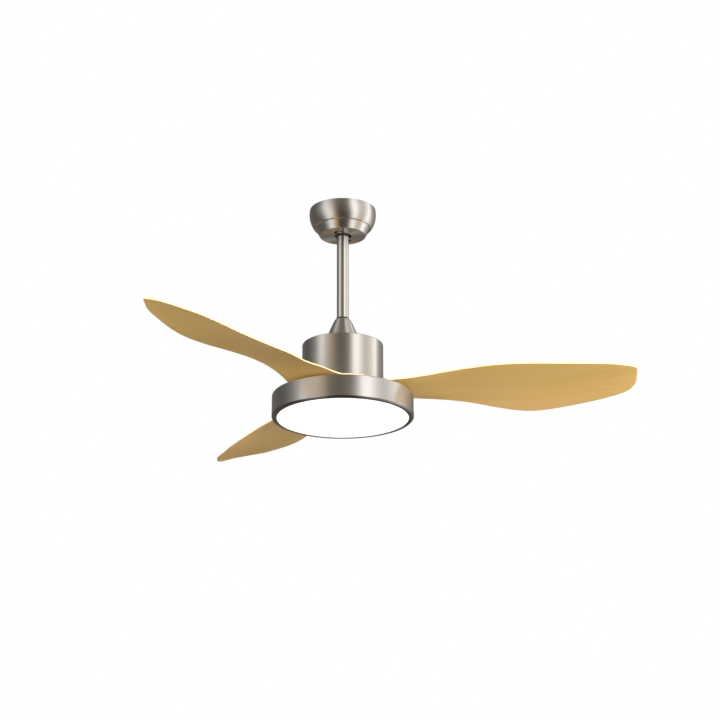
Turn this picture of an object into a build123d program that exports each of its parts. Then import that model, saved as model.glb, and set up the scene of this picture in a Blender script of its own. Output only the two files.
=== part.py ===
from build123d import *
import os
from math import acos, asin, cos, degrees, pi, radians, sin, sqrt, tan

# Ceiling fan with a round light, in millimetres.
# +Z is up. The origin is on the ceiling, on the fan's axis, so everything hangs below Z = 0.
# +X and +Y are level. The ceiling slots lie along Y, and the ball drops in from +X.

# ---- Heights, stacked from the ceiling down ----
CANOPY_GAP = 1.0          # ceiling to the canopy's rim
CANOPY_HEIGHT = 62.5
ROD_SHOWN = 203.0         # bare rod between the canopy and the coupling cover
COVER_HEIGHT = 61.0
HOUSING_HEIGHT = 99.5
HOUSING_BLADE_GAP = 2.0   # running gap, still housing to turning blade root
ROOT_THICKNESS = 12.0
BLADE_DRUM_GAP = 6.0      # running gap, turning blade root to still light
DRUM_HEIGHT = 51.0

CANOPY_BOTTOM = -CANOPY_GAP - CANOPY_HEIGHT
COVER_TOP = CANOPY_BOTTOM - ROD_SHOWN
HOUSING_TOP = COVER_TOP - COVER_HEIGHT
HOUSING_BOTTOM = HOUSING_TOP - HOUSING_HEIGHT
ROOT_TOP = HOUSING_BOTTOM - HOUSING_BLADE_GAP
ROOT_BOTTOM = ROOT_TOP - ROOT_THICKNESS
DRUM_TOP = ROOT_BOTTOM - BLADE_DRUM_GAP
DRUM_BOTTOM = DRUM_TOP - DRUM_HEIGHT

# ---- Fits ----
FIT = 0.1                 # radial clearance of a part slipped over another
BALL_GAP = 0.3            # between the ball, its pads and their seat
SEAT_GAP = 0.1            # below a part that rests on a ledge it slides over
BEARING_FIT = 0.03        # between a bearing's rings and what they touch

# ---- Screws ----
HEAD_ROUND = 0.4          # round of a screw's head, as a share of its height
SCREW_SPARE = 1.0         # screw beyond its nut or the last piece it holds
HOLE_SPARE = 0.5          # blind hole beyond its screw
SET_SCREW_RADIUS = 2.5
SET_SCREW_BITE = 1.2      # how far a set screw's point sinks into the rod's wall
M4_RADIUS = 2.0
M4_HEAD_RADIUS = 3.6
M4_HEAD_HEIGHT = 2.4
M4_NUT_RADIUS = 4.0
M4_NUT_HEIGHT = 3.0
M5_RADIUS = 2.5
M5_HEAD_RADIUS = 4.6
M5_HEAD_HEIGHT = 2.8

# ---- Ceiling bracket ----
SHEET = 2.5
FOLD_ROUND = 0.45         # round of the strip's folds, as a share of the sheet
BRACKET_WIDTH = 52.0      # top plate, along X
BRACKET_LENGTH = 96.0     # top plate, along Y, over the legs
BRACKET_ROUND = 6.0       # corners of the top plate
LEG_WIDTH = 34.0
SLOT_SPACING = 70.0
SLOT_WIDTH = 5.5
SLOT_LENGTH = 14.0
WIRE_HOLE_RADIUS = 8.0
WIRE_HOLE_X = -9.0
RECEIVER_FLANGE_LENGTH = 60.0
RECEIVER_FLANGE_HEIGHT = 16.0
SEAT_FLANGE_RADIUS = 38.0
SEAT_LOW_ANGLE = 43.0     # from straight down, the seat's lower edge
SEAT_HIGH_ANGLE = 65.0
ENTRY_WIDTH = 30.0        # the way in for the rod, from +X
TAB_WIDTH = 4.0           # keeps the ball from turning about the rod
TAB_BITE = 1.8            # how far the tab reaches inside the ball's surface
TAB_HEIGHT = 8.0
FOOT_WIDTH = 12.0
FOOT_INNER_RADIUS = 24.5

# ---- Hanger ball, pads and rod ----
BALL_RADIUS = 26.0
BALL_RISE = 25.5          # ball's centre above the canopy's underside
BALL_CUT_BELOW = 19.0     # flat of the ball below its centre
BALL_CUT_ABOVE = 12.0
PAD_THICKNESS = 2.0
PAD_LOW_ANGLE = 45.0
PAD_HIGH_ANGLE = 63.0
PAD_START = 52.0          # azimuth where a pad begins, beside the way in
PAD_END = 160.0           # azimuth where it ends, beside the tab
GROOVE_WIDTH = 9.0
GROOVE_SPARE = 2.5        # depth of the ball's groove beyond the tab
ROD_RADIUS = 13.35
ROD_WALL = 2.0
ROD_PROUD = 6.0           # rod above the ball's top
CROSS_PIN_RADIUS = 3.2
CROSS_PIN_LENGTH = 42.0
SET_SCREW_SUNK = 1.5      # set screw's outer end below the ball's surface

# ---- Canopy ----
CANOPY_RADIUS = 75.8
CANOPY_WALL = 1.2
CANOPY_BELLY = 11.0       # rim to the widest circle
CANOPY_BOWL_RADIUS = 57.0
CANOPY_BOWL_SWEEP = 34.0  # turn of the bowl's arc, from the belly to the shoulder
CANOPY_SHOULDER = 4.0     # radius of the shoulder, which turns the bowl in to the crease
CANOPY_STEP = 1.2         # level step from the shoulder to the lower tier
CANOPY_BOTTOM_RADIUS = 52.3
CANOPY_BOTTOM_ROUND = 1.5
CANOPY_HOLE_RADIUS = 20.0
CANOPY_SCREW_RING = 29.7
CANOPY_SCREW_AZIMUTH = 57.4
CANOPY_SCREW_RADIUS = 2.0
CANOPY_HEAD_RADIUS = 3.6
CANOPY_HEAD_HEIGHT = 2.2
KEYHOLE_SWEEP = 22.0      # turn that locks the canopy on its screws

# ---- Remote receiver ----
RECEIVER_DEPTH = 22.0
RECEIVER_LENGTH = 72.0
RECEIVER_HEIGHT = 26.0
RECEIVER_DROP = 3.0
RECEIVER_ROUND = 2.0
TERMINAL_SIZE = (22.0, 34.0, 11.0)
TERMINAL_X = 13.0
TERMINAL_POLES = 3
TERMINAL_SCREW_RADIUS = 2.0
TERMINAL_SCREW_DEPTH = 6.6

# ---- Coupling cover, gasket and yoke ----
COVER_TOP_RADIUS = 17.3
COVER_BASE_RADIUS = 44.0
COVER_SHOULDER = 5.0
COVER_WALL = 1.2
GASKET_WIDTH = 2.2        # rod to the gasket's outside
GASKET_PROUD = 1.6        # gasket above the cover
GASKET_GROOVE = 1.2       # depth of the groove that the cover's edge sits in
GASKET_ROUND = 0.6
YOKE_RADIUS = 20.0
YOKE_ABOVE = 40.0         # collar above the housing
YOKE_ROD_DEPTH = 30.0     # how deep the rod goes into the collar
YOKE_FLANGE_RADIUS = 34.0
YOKE_FLANGE_THICKNESS = 4.0
YOKE_BELOW = 3.5          # collar below the housing's top wall
YOKE_SCREW_TURN = 30.0    # azimuth of the collar's set screws, either side of +X
YOKE_SCREW_RISE = 6.0     # set screws above the rod's lower end
YOKE_SCREW_PROUD = 1.0
HITCH_RADIUS = 3.0
HITCH_DROP = 8.0          # hitch pin below the collar's top
HITCH_REACH = 4.0         # pin beyond the collar, each side
HITCH_HEAD = 1.5          # head's rim round the pin, and its height
CLIP_WIRE = 0.9

# ---- Motor housing ----
HOUSING_RADIUS = 90.5
HOUSING_WALL = 1.5
HOUSING_ROUND = 2.0
HOUSING_SCREW_RING = 28.0
HOUSING_SCREWS = 3
HOUSING_SCREW_AZIMUTH = 90.0

# ---- Motor ----
SHAFT_RADIUS = 8.5
SHAFT_BORE = 4.5
NUT_RADIUS = 15.0
NUT_HEIGHT = 6.0
BEARING_RADIUS = 20.0
BEARING_WIDTH = 12.0
RACE_THICKNESS = 3.2
BALL_COUNT = 8
MOTOR_GAP = 13.0          # yoke's end to the rotor's upper boss
CASE_WALL = 4.0
CASE_INSET = 12.5         # housing's outside to the rotor's case
CASE_LUG_RADIUS = 4.5
CASE_LUG_HEIGHT = 6.0
CASE_SCREWS = 6
CASE_SCREW_AZIMUTH = 30.0
CASE_ROUND = 3.0
BOSS_WALL = 5.0
BOSS_LIP = 1.5            # thickness of the boss's lip
BOSS_LIP_WIDTH = 4.2      # reach of the lip over the bearing
BOSS_RISE = 8.0           # bearing boss beyond the case's outer wall
MAGNET_THICKNESS = 3.5
MAGNET_COUNT = 16
MAGNET_FILL = 0.9         # share of the circle that magnets cover
MAGNET_HEIGHT = 32.0
AIR_GAP = 1.0
STACK_HEIGHT = 26.0
SLOT_COUNT = 12
TOOTH_WIDTH = 9.0
TOOTH_TIP = 4.0
TIP_GAP = 7.0             # between the tips of two teeth
CORE_HUB_RADIUS = 34.0
COIL_BUILD = 4.5          # copper beside a tooth
COIL_END = 8.0            # copper above and below the stack
COIL_GAP = 1.5            # coil to the hub and to the tooth's tip
COIL_ROUND = 0.8          # round of a coil, as a share of its build

# ---- Blades ----
BLADES = 3
SWEEP_RADIUS = 650.0
BLADE_AZIMUTH = -3.8      # of the first blade, as the rotor stands at rest
ROOT_RADIUS = 111.0
ROOT_LIP = 2.0            # blade roots inside the flange's bore
ROOT_JOINT_GAP = 1.0      # between two blades' roots
ROOT_ROUND = 2.5
EDGE_THICKNESS = 3.4
FLANGE_INSET = 7.5        # housing's outside to the flange
FLANGE_WIDTH = 34.0       # flange's edge to its bore
FLANGE_THICKNESS = 6.0
FLANGE_RIM = 8.0
FLANGE_COLLAR = 6.0       # flange's collar below the rotor
MIDDLE_SCREW_INSET = 18.0 # flange's edge to the screw on the blade's line
SIDE_SCREW_INSET = 10.0   # flange's edge to the two screws beside it
SIDE_SCREW_ANGLE = 34.0   # those two, from the blade's line
WASHER_RADIUS = 6.5
WASHER_THICKNESS = 1.0
THREAD_DEPTH = 5.0

BLADE_START = 62.0        # reach of the first section, inside the root
BLADE_HALF_WIDTH = 107.0  # widest half of a blade, from its line to the leading edge
BLADE_RISE = 29.0         # highest the leading edge climbs above the root's middle
CAMBER = 0.03             # rise of the section's middle, as a share of its width
FULL_CAMBER_ANGLE = 8.0   # pitch where the camber is full; it fades out to none at the root
FULLNESS = 0.7            # how square the section's thickness is towards its edges

# Sections along a blade: share of the way from its start to the tip, leading and trailing half
# as shares of the widest half, share of the rise at the leading edge, pitch in degrees, and
# thickness as a share of the root's. The leading edge is the raised one, clockwise from above.
BLADE_STATIONS = (
    (0.0, 0.823, 0.805, 0.0, 0.0, 0.933),
    (0.058, 0.683, 0.638, 0.050, 0.5, 0.933),
    (0.090, 0.643, 0.569, 0.125, 1.0, 0.924),
    (0.177, 0.574, 0.549, 0.377, 5.3, 0.867),
    (0.272, 0.604, 0.543, 0.652, 10.8, 0.800),
    (0.386, 0.750, 0.647, 0.815, 12.8, 0.750),
    (0.498, 0.908, 0.773, 0.827, 13.7, 0.717),
    (0.612, 0.974, 0.825, 0.765, 13.9, 0.683),
    (0.725, 0.929, 0.730, 0.761, 13.7, 0.650),
    (0.838, 0.807, 0.600, 0.856, 14.1, 0.600),
    (0.932, 0.641, 0.417, 0.944, 16.0, 0.533),
    (0.965, 0.536, 0.308, 0.973, 18.0, 0.490),
    (0.986, 0.466, 0.185, 0.965, 18.7, 0.456),
    (0.998, 0.374, -0.060, 0.930, 18.9, 0.434),
)

# ---- Light ----
DRUM_RADIUS = 157.2
DRUM_WALL = 1.5
DRUM_ROUND = 2.0
DRUM_HOLE_RADIUS = 17.0
MOUNT_PLATE_RADIUS = 42.0
MOUNT_PLATE_THICKNESS = 3.0
SPACER_WALL = 3.0
SHAFT_BELOW = 10.0        # shaft beyond the mount plate
DRUM_SCREW_RING = 30.0
DRUM_SCREWS = 3
DRUM_SCREW_AZIMUTH = 60.0
TRIM_PROUD = 0.4          # trim ring beyond the drum's wall
TRIM_HEIGHT = 13.0
TRIM_LAP = 5.0            # part of the ring that laps over the drum's wall
TRIM_BEVEL = 2.6
TRIM_ROUND = 1.5          # softens the upper edge of the bevel
TRIM_WIDTH = 7.9          # ring's face seen from below
LEDGE_THICKNESS = 2.0
LEDGE_INSET = 14.0        # drum's outside to the ledge's inner edge
DIFFUSER_GAP = 0.5
DIFFUSER_THICKNESS = 2.5
DIFFUSER_ROUND = 0.8
SKIRT_THICKNESS = 2.5
SKIRT_GAP = 1.0           # skirt to the ledge, and a lug to the end of its notch
SKIRT_ABOVE = 1.0         # skirt above the lugs
LUG_COUNT = 3
LUG_AZIMUTH = 90.0
LUG_SWEEP = 20.0
LUG_HEIGHT = 2.4
NOTCH_SPARE = 3.0         # notch wider than its lug, in degrees
LUG_OVERLAP = 4.0         # how far a lug reaches over the ledge
TWIST = 25.0              # turn that frees the diffuser
TRAY_DROP = 29.0          # drum's underside to the tray
TRAY_INSET = 16.5         # drum's outside to the tray
TRAY_SHEET = 1.5
TRAY_RIM = 8.0
TRAY_ROUND = 2.0
POST_RADIUS = 4.0
POST_INSET = 20.0         # tray's edge to the middle of a post
POST_AZIMUTH = 60.0
POST_COUNT = 3
POST_TAP_DEPTH = 10.0
TRAY_SCREW_RADIUS = 1.5
BOARD_INSET = 6.0         # tray's edge to the board
BOARD_THICKNESS = 1.6
LED_RINGS = 3
LED_RING_STEP = 32.0
LED_INSET = 30.0          # board's edge to the outer ring of chips
LED_PITCH = 25.0          # between two chips of a ring, roughly
LED_SIZE = 3.5
LED_HEIGHT = 0.8
DRIVER_SIZE = (58.0, 106.0, 22.0)
DRIVER_X = 62.0
DRIVER_ROUND = 4.0

# ---- Cable through the rod and the shaft ----
CABLE_RADIUS = 2.4
CABLE_PIN_GAP = 0.4       # cable to the pins that cross the rod
CABLE_BEND = 15.0         # radius of its two bends above the shaft
CABLE_STRAIGHT = 0.02     # share of each bend given up for a short straight between them
CABLE_BELOW = 2.0         # cable's end below the shaft
PLUG_SIZE = (8.0, 8.0, 9.0)
PLUG_PROUD = 3.5          # upper plug above the rod


# ---------------------------------------------------------------- helpers
def turned(points, rounds=()):
    """A solid turned about Z from an outline of (radius, height), with some corners rounded."""
    face = Plane.XZ * make_face(Polyline(*points, close=True))
    for (radius, height), amount in rounds:
        corner = face.vertices().sort_by_distance((radius, 0, height))[0]
        face = fillet(corner, amount)
    return revolve(face, Axis.Z)


def ring(inner, outer, low, high):
    """A plain ring or disc between two heights."""
    disc = Pos(0, 0, low) * extrude(Circle(outer), high - low)
    if inner <= 0:
        return disc
    return disc - Pos(0, 0, low) * extrude(Circle(inner), high - low)


def rod(radius, low, high):
    return ring(0, radius, low, high)


def block(x_range, y_range, z_range):
    """A box given by its extents."""
    size = [b - a for a, b in (x_range, y_range, z_range)]
    middle = [(a + b) / 2 for a, b in (x_range, y_range, z_range)]
    return Pos(*middle) * Box(*size)


def around(count, radius=0.0, start=0.0):
    """Places spread evenly round Z."""
    return [Rot(0, 0, start + 360 * i / count) * Pos(radius, 0, 0) for i in range(count)]


def sector(inner, outer, low, high, start, end):
    """A piece of a ring between two azimuths."""
    inner_arc = CenterArc((0, 0), inner, start, end - start)
    outer_arc = CenterArc((0, 0), outer, start, end - start)
    sides = Line(inner_arc @ 0, outer_arc @ 0) + Line(inner_arc @ 1, outer_arc @ 1)
    return Pos(0, 0, low) * extrude(make_face(inner_arc + outer_arc + sides), high - low)


def screw(shank, head, head_height, low, high, head_up):
    """A screw with its shank from low to high and its head beyond one end."""
    top = (high, high + head_height) if head_up else (low - head_height, low)
    cap = turned(((0, top[0]), (head, top[0]), (head, top[1]), (0, top[1])),
                 [((head, top[1] if head_up else top[0]), head_height * HEAD_ROUND)])
    return rod(shank, low, high) + cap


def hex_nut(radius, bore, low, high):
    nut = Pos(0, 0, low) * extrude(RegularPolygon(radius, 6), high - low)
    return nut - rod(bore, low, high)


def group(solids):
    """Separate solids that share one node."""
    return Compound(children=[solid for item in solids for solid in item.solids()])


def at_each(places, solid):
    return group([place * solid for place in places])


# ---------------------------------------------------------------- ceiling side
BALL_Z = CANOPY_BOTTOM + BALL_RISE
PAD_INNER = BALL_RADIUS + BALL_GAP
PAD_OUTER = PAD_INNER + PAD_THICKNESS
SEAT_INNER = PAD_OUTER + BALL_GAP
SEAT_OUTER = SEAT_INNER + SHEET
SEAT_FLANGE_TOP = BALL_Z - SEAT_INNER * cos(radians(SEAT_HIGH_ANGLE))
FOOT_BOTTOM = CANOPY_BOTTOM + CANOPY_WALL
TAB_TIP = sqrt(BALL_RADIUS**2 - (BALL_Z - SEAT_FLANGE_TOP - TAB_HEIGHT / 2) ** 2) - TAB_BITE


def shell_band(inner, outer, low_angle, high_angle):
    """A band of a hollow sphere round the ball's centre, between two angles from straight down."""
    def spot(radius, angle):
        return radius * sin(radians(angle)), BALL_Z - radius * cos(radians(angle))

    def arc(radius):
        middle = (low_angle + high_angle) / 2
        return ThreePointArc(spot(radius, low_angle), spot(radius, middle), spot(radius, high_angle))

    ends = [Line(spot(inner, a), spot(outer, a)) for a in (low_angle, high_angle)]
    return revolve(Plane.XZ * make_face(arc(inner) + arc(outer) + ends[0] + ends[1]), Axis.Z)


def hanger_bracket():
    """A U of bent strip whose floor is pressed into a round seat, open on one side for the rod."""
    half_x, half_y, half_leg = BRACKET_WIDTH / 2, BRACKET_LENGTH / 2, LEG_WIDTH / 2
    plate = extrude(RectangleRounded(BRACKET_WIDTH, BRACKET_LENGTH, BRACKET_ROUND), -SHEET)
    side = block((-half_x, -half_x + SHEET), (-RECEIVER_FLANGE_LENGTH / 2, RECEIVER_FLANGE_LENGTH / 2),
                 (-RECEIVER_FLANGE_HEIGHT, 0))
    low = SEAT_FLANGE_TOP - SHEET
    strap = block((-half_leg, half_leg), (-half_y, half_y), (low, 0))
    hollow = block((-half_leg, half_leg), (-half_y + SHEET, half_y - SHEET), (SEAT_FLANGE_TOP, -SHEET))
    strap = fillet((strap - hollow).edges().filter_by(Axis.X), SHEET * FOLD_ROUND)
    floor = ring(0, SEAT_FLANGE_RADIUS, low, SEAT_FLANGE_TOP)
    seat = shell_band(SEAT_INNER, SEAT_OUTER, SEAT_LOW_ANGLE, SEAT_HIGH_ANGLE)
    opening = Pos(0, 0, BALL_Z) * Sphere(SEAT_INNER)
    entry = block((0, half_y), (-ENTRY_WIDTH / 2, ENTRY_WIDTH / 2), (FOOT_BOTTOM, SEAT_FLANGE_TOP))
    bracket = plate + side + (strap + floor - opening) + seat - entry
    slot = Rot(0, 0, 90) * extrude(SlotOverall(SLOT_LENGTH, SLOT_WIDTH), -SHEET)
    for y in (-SLOT_SPACING / 2, SLOT_SPACING / 2):
        bracket -= Pos(0, y, 0) * slot
    bracket -= Pos(WIRE_HOLE_X, 0, 0) * rod(WIRE_HOLE_RADIUS, -SHEET, 0)
    tab = block((-SEAT_INNER * sin(radians(SEAT_HIGH_ANGLE)) - SHEET, -TAB_TIP),
                (-TAB_WIDTH / 2, TAB_WIDTH / 2), (low, SEAT_FLANGE_TOP + TAB_HEIGHT))
    return bracket + tab + canopy_feet(low)


def canopy_feet(flange_low):
    """Two bent feet that carry the canopy's screws."""
    wall = block((SEAT_FLANGE_RADIUS - SHEET, SEAT_FLANGE_RADIUS), (-FOOT_WIDTH / 2, FOOT_WIDTH / 2),
                 (FOOT_BOTTOM, flange_low + SHEET / 2))
    sole = block((FOOT_INNER_RADIUS, SEAT_FLANGE_RADIUS), (-FOOT_WIDTH / 2, FOOT_WIDTH / 2),
                 (FOOT_BOTTOM, FOOT_BOTTOM + SHEET))
    hole = Pos(CANOPY_SCREW_RING, 0, 0) * rod(CANOPY_SCREW_RADIUS + FIT, FOOT_BOTTOM, FOOT_BOTTOM + SHEET)
    foot = wall + sole - hole
    one, other = [place * foot for place in around(2, 0, CANOPY_SCREW_AZIMUTH)]
    return one + other


def ball_seat_pads():
    """Two nylon pads between the ball and its seat, which leave the tab and the way in free."""
    band = shell_band(PAD_INNER, PAD_OUTER, PAD_LOW_ANGLE, PAD_HIGH_ANGLE)
    low, high = BALL_Z - PAD_OUTER, BALL_Z
    return group([band & sector(PAD_INNER / 2, PAD_OUTER, low, high, start, end)
                  for start, end in ((PAD_START, PAD_END), (-PAD_END, -PAD_START))])


def canopy_outline():
    """The canopy's outer profile: bowl, shoulder, step, lower tier and flat bottom."""
    centre_r = CANOPY_RADIUS - CANOPY_BOWL_RADIUS
    belly_z = -CANOPY_GAP - CANOPY_BELLY
    lift = degrees(asin(CANOPY_BELLY / CANOPY_BOWL_RADIUS))
    bowl = CenterArc((centre_r, belly_z), CANOPY_BOWL_RADIUS, lift, -lift - CANOPY_BOWL_SWEEP)
    inward = Vector(centre_r, belly_z) - bowl @ 1
    centre = bowl @ 1 + inward.normalized() * CANOPY_SHOULDER
    shoulder = CenterArc((centre.X, centre.Y), CANOPY_SHOULDER, -CANOPY_BOWL_SWEEP, CANOPY_BOWL_SWEEP - 90)
    level = shoulder @ 1
    step = Line(level, (level.X - CANOPY_STEP, level.Y))
    corner = (CANOPY_BOTTOM_RADIUS, CANOPY_BOTTOM)
    tier = FilletPolyline(step @ 1, corner, (CANOPY_HOLE_RADIUS, CANOPY_BOTTOM),
                          radius=CANOPY_BOTTOM_ROUND)
    return Wire([edge for line in (bowl, shoulder, step, tier) for edge in line.edges()])


def canopy():
    """A spun two-tier bowl with the rod's hole and two keyhole slots in its floor."""
    profile = offset(canopy_outline(), CANOPY_WALL, kind=Kind.INTERSECTION, side=Side.RIGHT)
    shell = revolve(Plane.XZ * make_face(profile), Axis.Z)
    slot_half = CANOPY_SCREW_RADIUS + 2 * FIT
    low, high = CANOPY_BOTTOM, CANOPY_BOTTOM + CANOPY_WALL
    for start in (CANOPY_SCREW_AZIMUTH, CANOPY_SCREW_AZIMUTH + 180):
        shell -= sector(CANOPY_SCREW_RING - slot_half, CANOPY_SCREW_RING + slot_half, low, high,
                        start, start + KEYHOLE_SWEEP)
        shell -= Rot(0, 0, start) * Pos(CANOPY_SCREW_RING, 0, 0) * rod(slot_half, low, high)
        shell -= (Rot(0, 0, start + KEYHOLE_SWEEP) * Pos(CANOPY_SCREW_RING, 0, 0)
                  * rod(CANOPY_HEAD_RADIUS + 2 * FIT, low, high))
    return shell


def canopy_screws():
    one = screw(CANOPY_SCREW_RADIUS, CANOPY_HEAD_RADIUS, CANOPY_HEAD_HEIGHT, CANOPY_BOTTOM,
                FOOT_BOTTOM + SHEET + 2 * SCREW_SPARE, head_up=False)
    return at_each(around(2, CANOPY_SCREW_RING, CANOPY_SCREW_AZIMUTH), one)


def remote_receiver():
    """The radio receiver, fixed flat on the bracket's side flange."""
    x = -BRACKET_WIDTH / 2
    case = block((x - RECEIVER_DEPTH, x), (-RECEIVER_LENGTH / 2, RECEIVER_LENGTH / 2),
                 (-RECEIVER_DROP - RECEIVER_HEIGHT, -RECEIVER_DROP))
    return fillet(case.edges().filter_by(Axis.Y), RECEIVER_ROUND)


def terminal_block():
    """Three screw terminals under the bracket's plate."""
    width, length, height = TERMINAL_SIZE
    body = block((TERMINAL_X - width / 2, TERMINAL_X + width / 2), (-length / 2, length / 2),
                 (-SHEET - height, -SHEET))
    low = -SHEET - height
    well = rod(TERMINAL_SCREW_RADIUS, low, low + TERMINAL_SCREW_DEPTH)
    for spot in GridLocations(width / 2, length / TERMINAL_POLES, 2, TERMINAL_POLES):
        body -= Pos(TERMINAL_X, 0, 0) * spot * well
    return body


# ---------------------------------------------------------------- ball, rod and coupling
ROD_TOP = BALL_Z + BALL_CUT_ABOVE + ROD_PROUD
YOKE_TOP = HOUSING_TOP + YOKE_ABOVE
ROD_BOTTOM = YOKE_TOP - YOKE_ROD_DEPTH
PIN_Z = BALL_Z + BALL_CUT_ABOVE - CROSS_PIN_RADIUS
HITCH_Z = YOKE_TOP - HITCH_DROP
YOKE_SCREW_Z = ROD_BOTTOM + YOKE_SCREW_RISE
CLIP_Y = YOKE_RADIUS + HITCH_REACH / 2
YOKE_BOTTOM = HOUSING_TOP - HOUSING_WALL - YOKE_BELOW


def along_y(radius, length, z):
    """A round bar that crosses the axis along Y."""
    return Pos(0, 0, z) * Rot(90, 0, 0) * Cylinder(radius, length)


def along_x(radius, start, end, z):
    return Pos((start + end) / 2, 0, z) * Rot(0, 90, 0) * Cylinder(radius, abs(end - start))


def hanger_ball():
    ball = Pos(0, 0, BALL_Z) * Sphere(BALL_RADIUS)
    ball &= ring(0, BALL_RADIUS, BALL_Z - BALL_CUT_BELOW, BALL_Z + BALL_CUT_ABOVE)
    ball -= rod(ROD_RADIUS + FIT, BALL_Z - BALL_RADIUS, BALL_Z + BALL_RADIUS)
    ball -= along_y(CROSS_PIN_RADIUS + FIT, 2 * BALL_RADIUS, PIN_Z)
    channel = CROSS_PIN_RADIUS + FIT
    ball -= block((-channel, channel), (-BALL_RADIUS, BALL_RADIUS), (PIN_Z, BALL_Z + BALL_RADIUS))
    ball -= block((-BALL_RADIUS, -TAB_TIP + GROOVE_SPARE), (-GROOVE_WIDTH / 2, GROOVE_WIDTH / 2),
                  (BALL_Z - BALL_RADIUS, BALL_Z + BALL_RADIUS))
    return ball - along_x(SET_SCREW_RADIUS + FIT, 0, BALL_RADIUS, BALL_Z)


def cross_pin():
    return along_y(CROSS_PIN_RADIUS, CROSS_PIN_LENGTH, PIN_Z)


def ball_set_screw():
    return along_x(SET_SCREW_RADIUS, ROD_RADIUS - SET_SCREW_BITE, BALL_RADIUS - SET_SCREW_SUNK, BALL_Z)


def downrod():
    tube = ring(ROD_RADIUS - ROD_WALL, ROD_RADIUS, ROD_BOTTOM, ROD_TOP)
    tube -= along_y(CROSS_PIN_RADIUS + FIT, 4 * ROD_RADIUS, PIN_Z)
    tube -= along_y(HITCH_RADIUS + FIT, 4 * ROD_RADIUS, HITCH_Z)
    tube -= along_x(SET_SCREW_RADIUS + FIT, ROD_RADIUS - SET_SCREW_BITE - FIT, 2 * ROD_RADIUS, BALL_Z)
    for turn in (-1, 1):
        tube -= Rot(0, 0, turn * YOKE_SCREW_TURN) * along_x(
            SET_SCREW_RADIUS + FIT, ROD_RADIUS - SET_SCREW_BITE - FIT, 2 * ROD_RADIUS, YOKE_SCREW_Z)
    return tube


def cover_outline():
    """The coupling cover's outer profile, from the rod's hole over the shoulder to the base."""
    hole = ROD_RADIUS + GASKET_WIDTH - GASKET_GROOVE
    return FilletPolyline((hole, COVER_TOP), (COVER_TOP_RADIUS, COVER_TOP),
                          (COVER_TOP_RADIUS + COVER_SHOULDER, COVER_TOP - 2 * COVER_SHOULDER),
                          (COVER_BASE_RADIUS, HOUSING_TOP), radius=COVER_SHOULDER / 2)


def coupling_cover():
    """A thin spun cone over the rod's joint with the motor."""
    profile = offset(Wire(cover_outline().edges()), COVER_WALL, kind=Kind.INTERSECTION,
                     side=Side.RIGHT)
    cone = revolve(Plane.XZ * make_face(profile), Axis.Z)
    return cone & ring(0, 2 * COVER_BASE_RADIUS, HOUSING_TOP, COVER_TOP)


def rod_gasket():
    """A rubber ring grooved to hold the cover's edge against the rod."""
    outer = ROD_RADIUS + GASKET_WIDTH
    neck = outer - GASKET_GROOVE
    top, bottom = COVER_TOP + GASKET_PROUD, COVER_TOP - COVER_WALL - GASKET_PROUD
    return turned(((ROD_RADIUS + FIT, bottom), (outer, bottom), (outer, COVER_TOP - COVER_WALL),
                   (neck, COVER_TOP - COVER_WALL), (neck, COVER_TOP), (outer, COVER_TOP),
                   (outer, top), (ROD_RADIUS + FIT, top)), [((outer, top), GASKET_ROUND)])


def motor_yoke():
    """The steel collar that ties the rod to the motor's shaft."""
    collar = ring(0, YOKE_RADIUS, YOKE_BOTTOM, YOKE_TOP)
    flange = ring(0, YOKE_FLANGE_RADIUS, HOUSING_TOP, HOUSING_TOP + YOKE_FLANGE_THICKNESS)
    yoke = collar + flange - rod(ROD_RADIUS + FIT, ROD_BOTTOM, YOKE_TOP)
    yoke -= rod(SHAFT_RADIUS + FIT, YOKE_BOTTOM, ROD_BOTTOM)
    yoke -= along_y(HITCH_RADIUS + FIT, 4 * YOKE_RADIUS, HITCH_Z)
    for turn in (-1, 1):
        yoke -= Rot(0, 0, turn * YOKE_SCREW_TURN) * along_x(SET_SCREW_RADIUS + FIT, 0, 2 * YOKE_RADIUS,
                                                            YOKE_SCREW_Z)
    for place in around(HOUSING_SCREWS, HOUSING_SCREW_RING, HOUSING_SCREW_AZIMUTH):
        yoke -= place * rod(M4_RADIUS + FIT, HOUSING_TOP, HOUSING_TOP + YOKE_FLANGE_THICKNESS)
    return yoke


def yoke_set_screws():
    one = along_x(SET_SCREW_RADIUS, ROD_RADIUS - SET_SCREW_BITE, YOKE_RADIUS + YOKE_SCREW_PROUD,
                  YOKE_SCREW_Z)
    return group([Rot(0, 0, turn * YOKE_SCREW_TURN) * one for turn in (-1, 1)])


def hitch_pin():
    reach = YOKE_RADIUS + HITCH_REACH
    pin = along_y(HITCH_RADIUS, 2 * reach, HITCH_Z)
    head = Pos(0, -reach, HITCH_Z) * Rot(90, 0, 0) * Cylinder(HITCH_RADIUS + HITCH_HEAD, HITCH_HEAD)
    hole = Pos(0, CLIP_Y, HITCH_Z) * Cylinder(CLIP_WIRE + FIT, 4 * HITCH_RADIUS)
    return pin + head - hole


def hitch_clip():
    """A spring clip: a straight leg through the pin and a bent leg round it."""
    low, high = HITCH_Z - 2 * HITCH_RADIUS, HITCH_Z + 1.5 * HITCH_RADIUS
    beside = HITCH_RADIUS + CLIP_WIRE + BALL_GAP
    legs = Line((0, low), (0, high)) + Line((beside, high), (beside, low))
    bend = ThreePointArc((0, high), (beside / 2, high + beside / 2), (beside, high))
    path = Plane(origin=(0, CLIP_Y, 0), x_dir=(1, 0, 0), z_dir=(0, -1, 0)) * (legs + bend)
    return sweep(Pos(0, CLIP_Y, low) * Circle(CLIP_WIRE), path=Wire(path.edges()))


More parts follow.
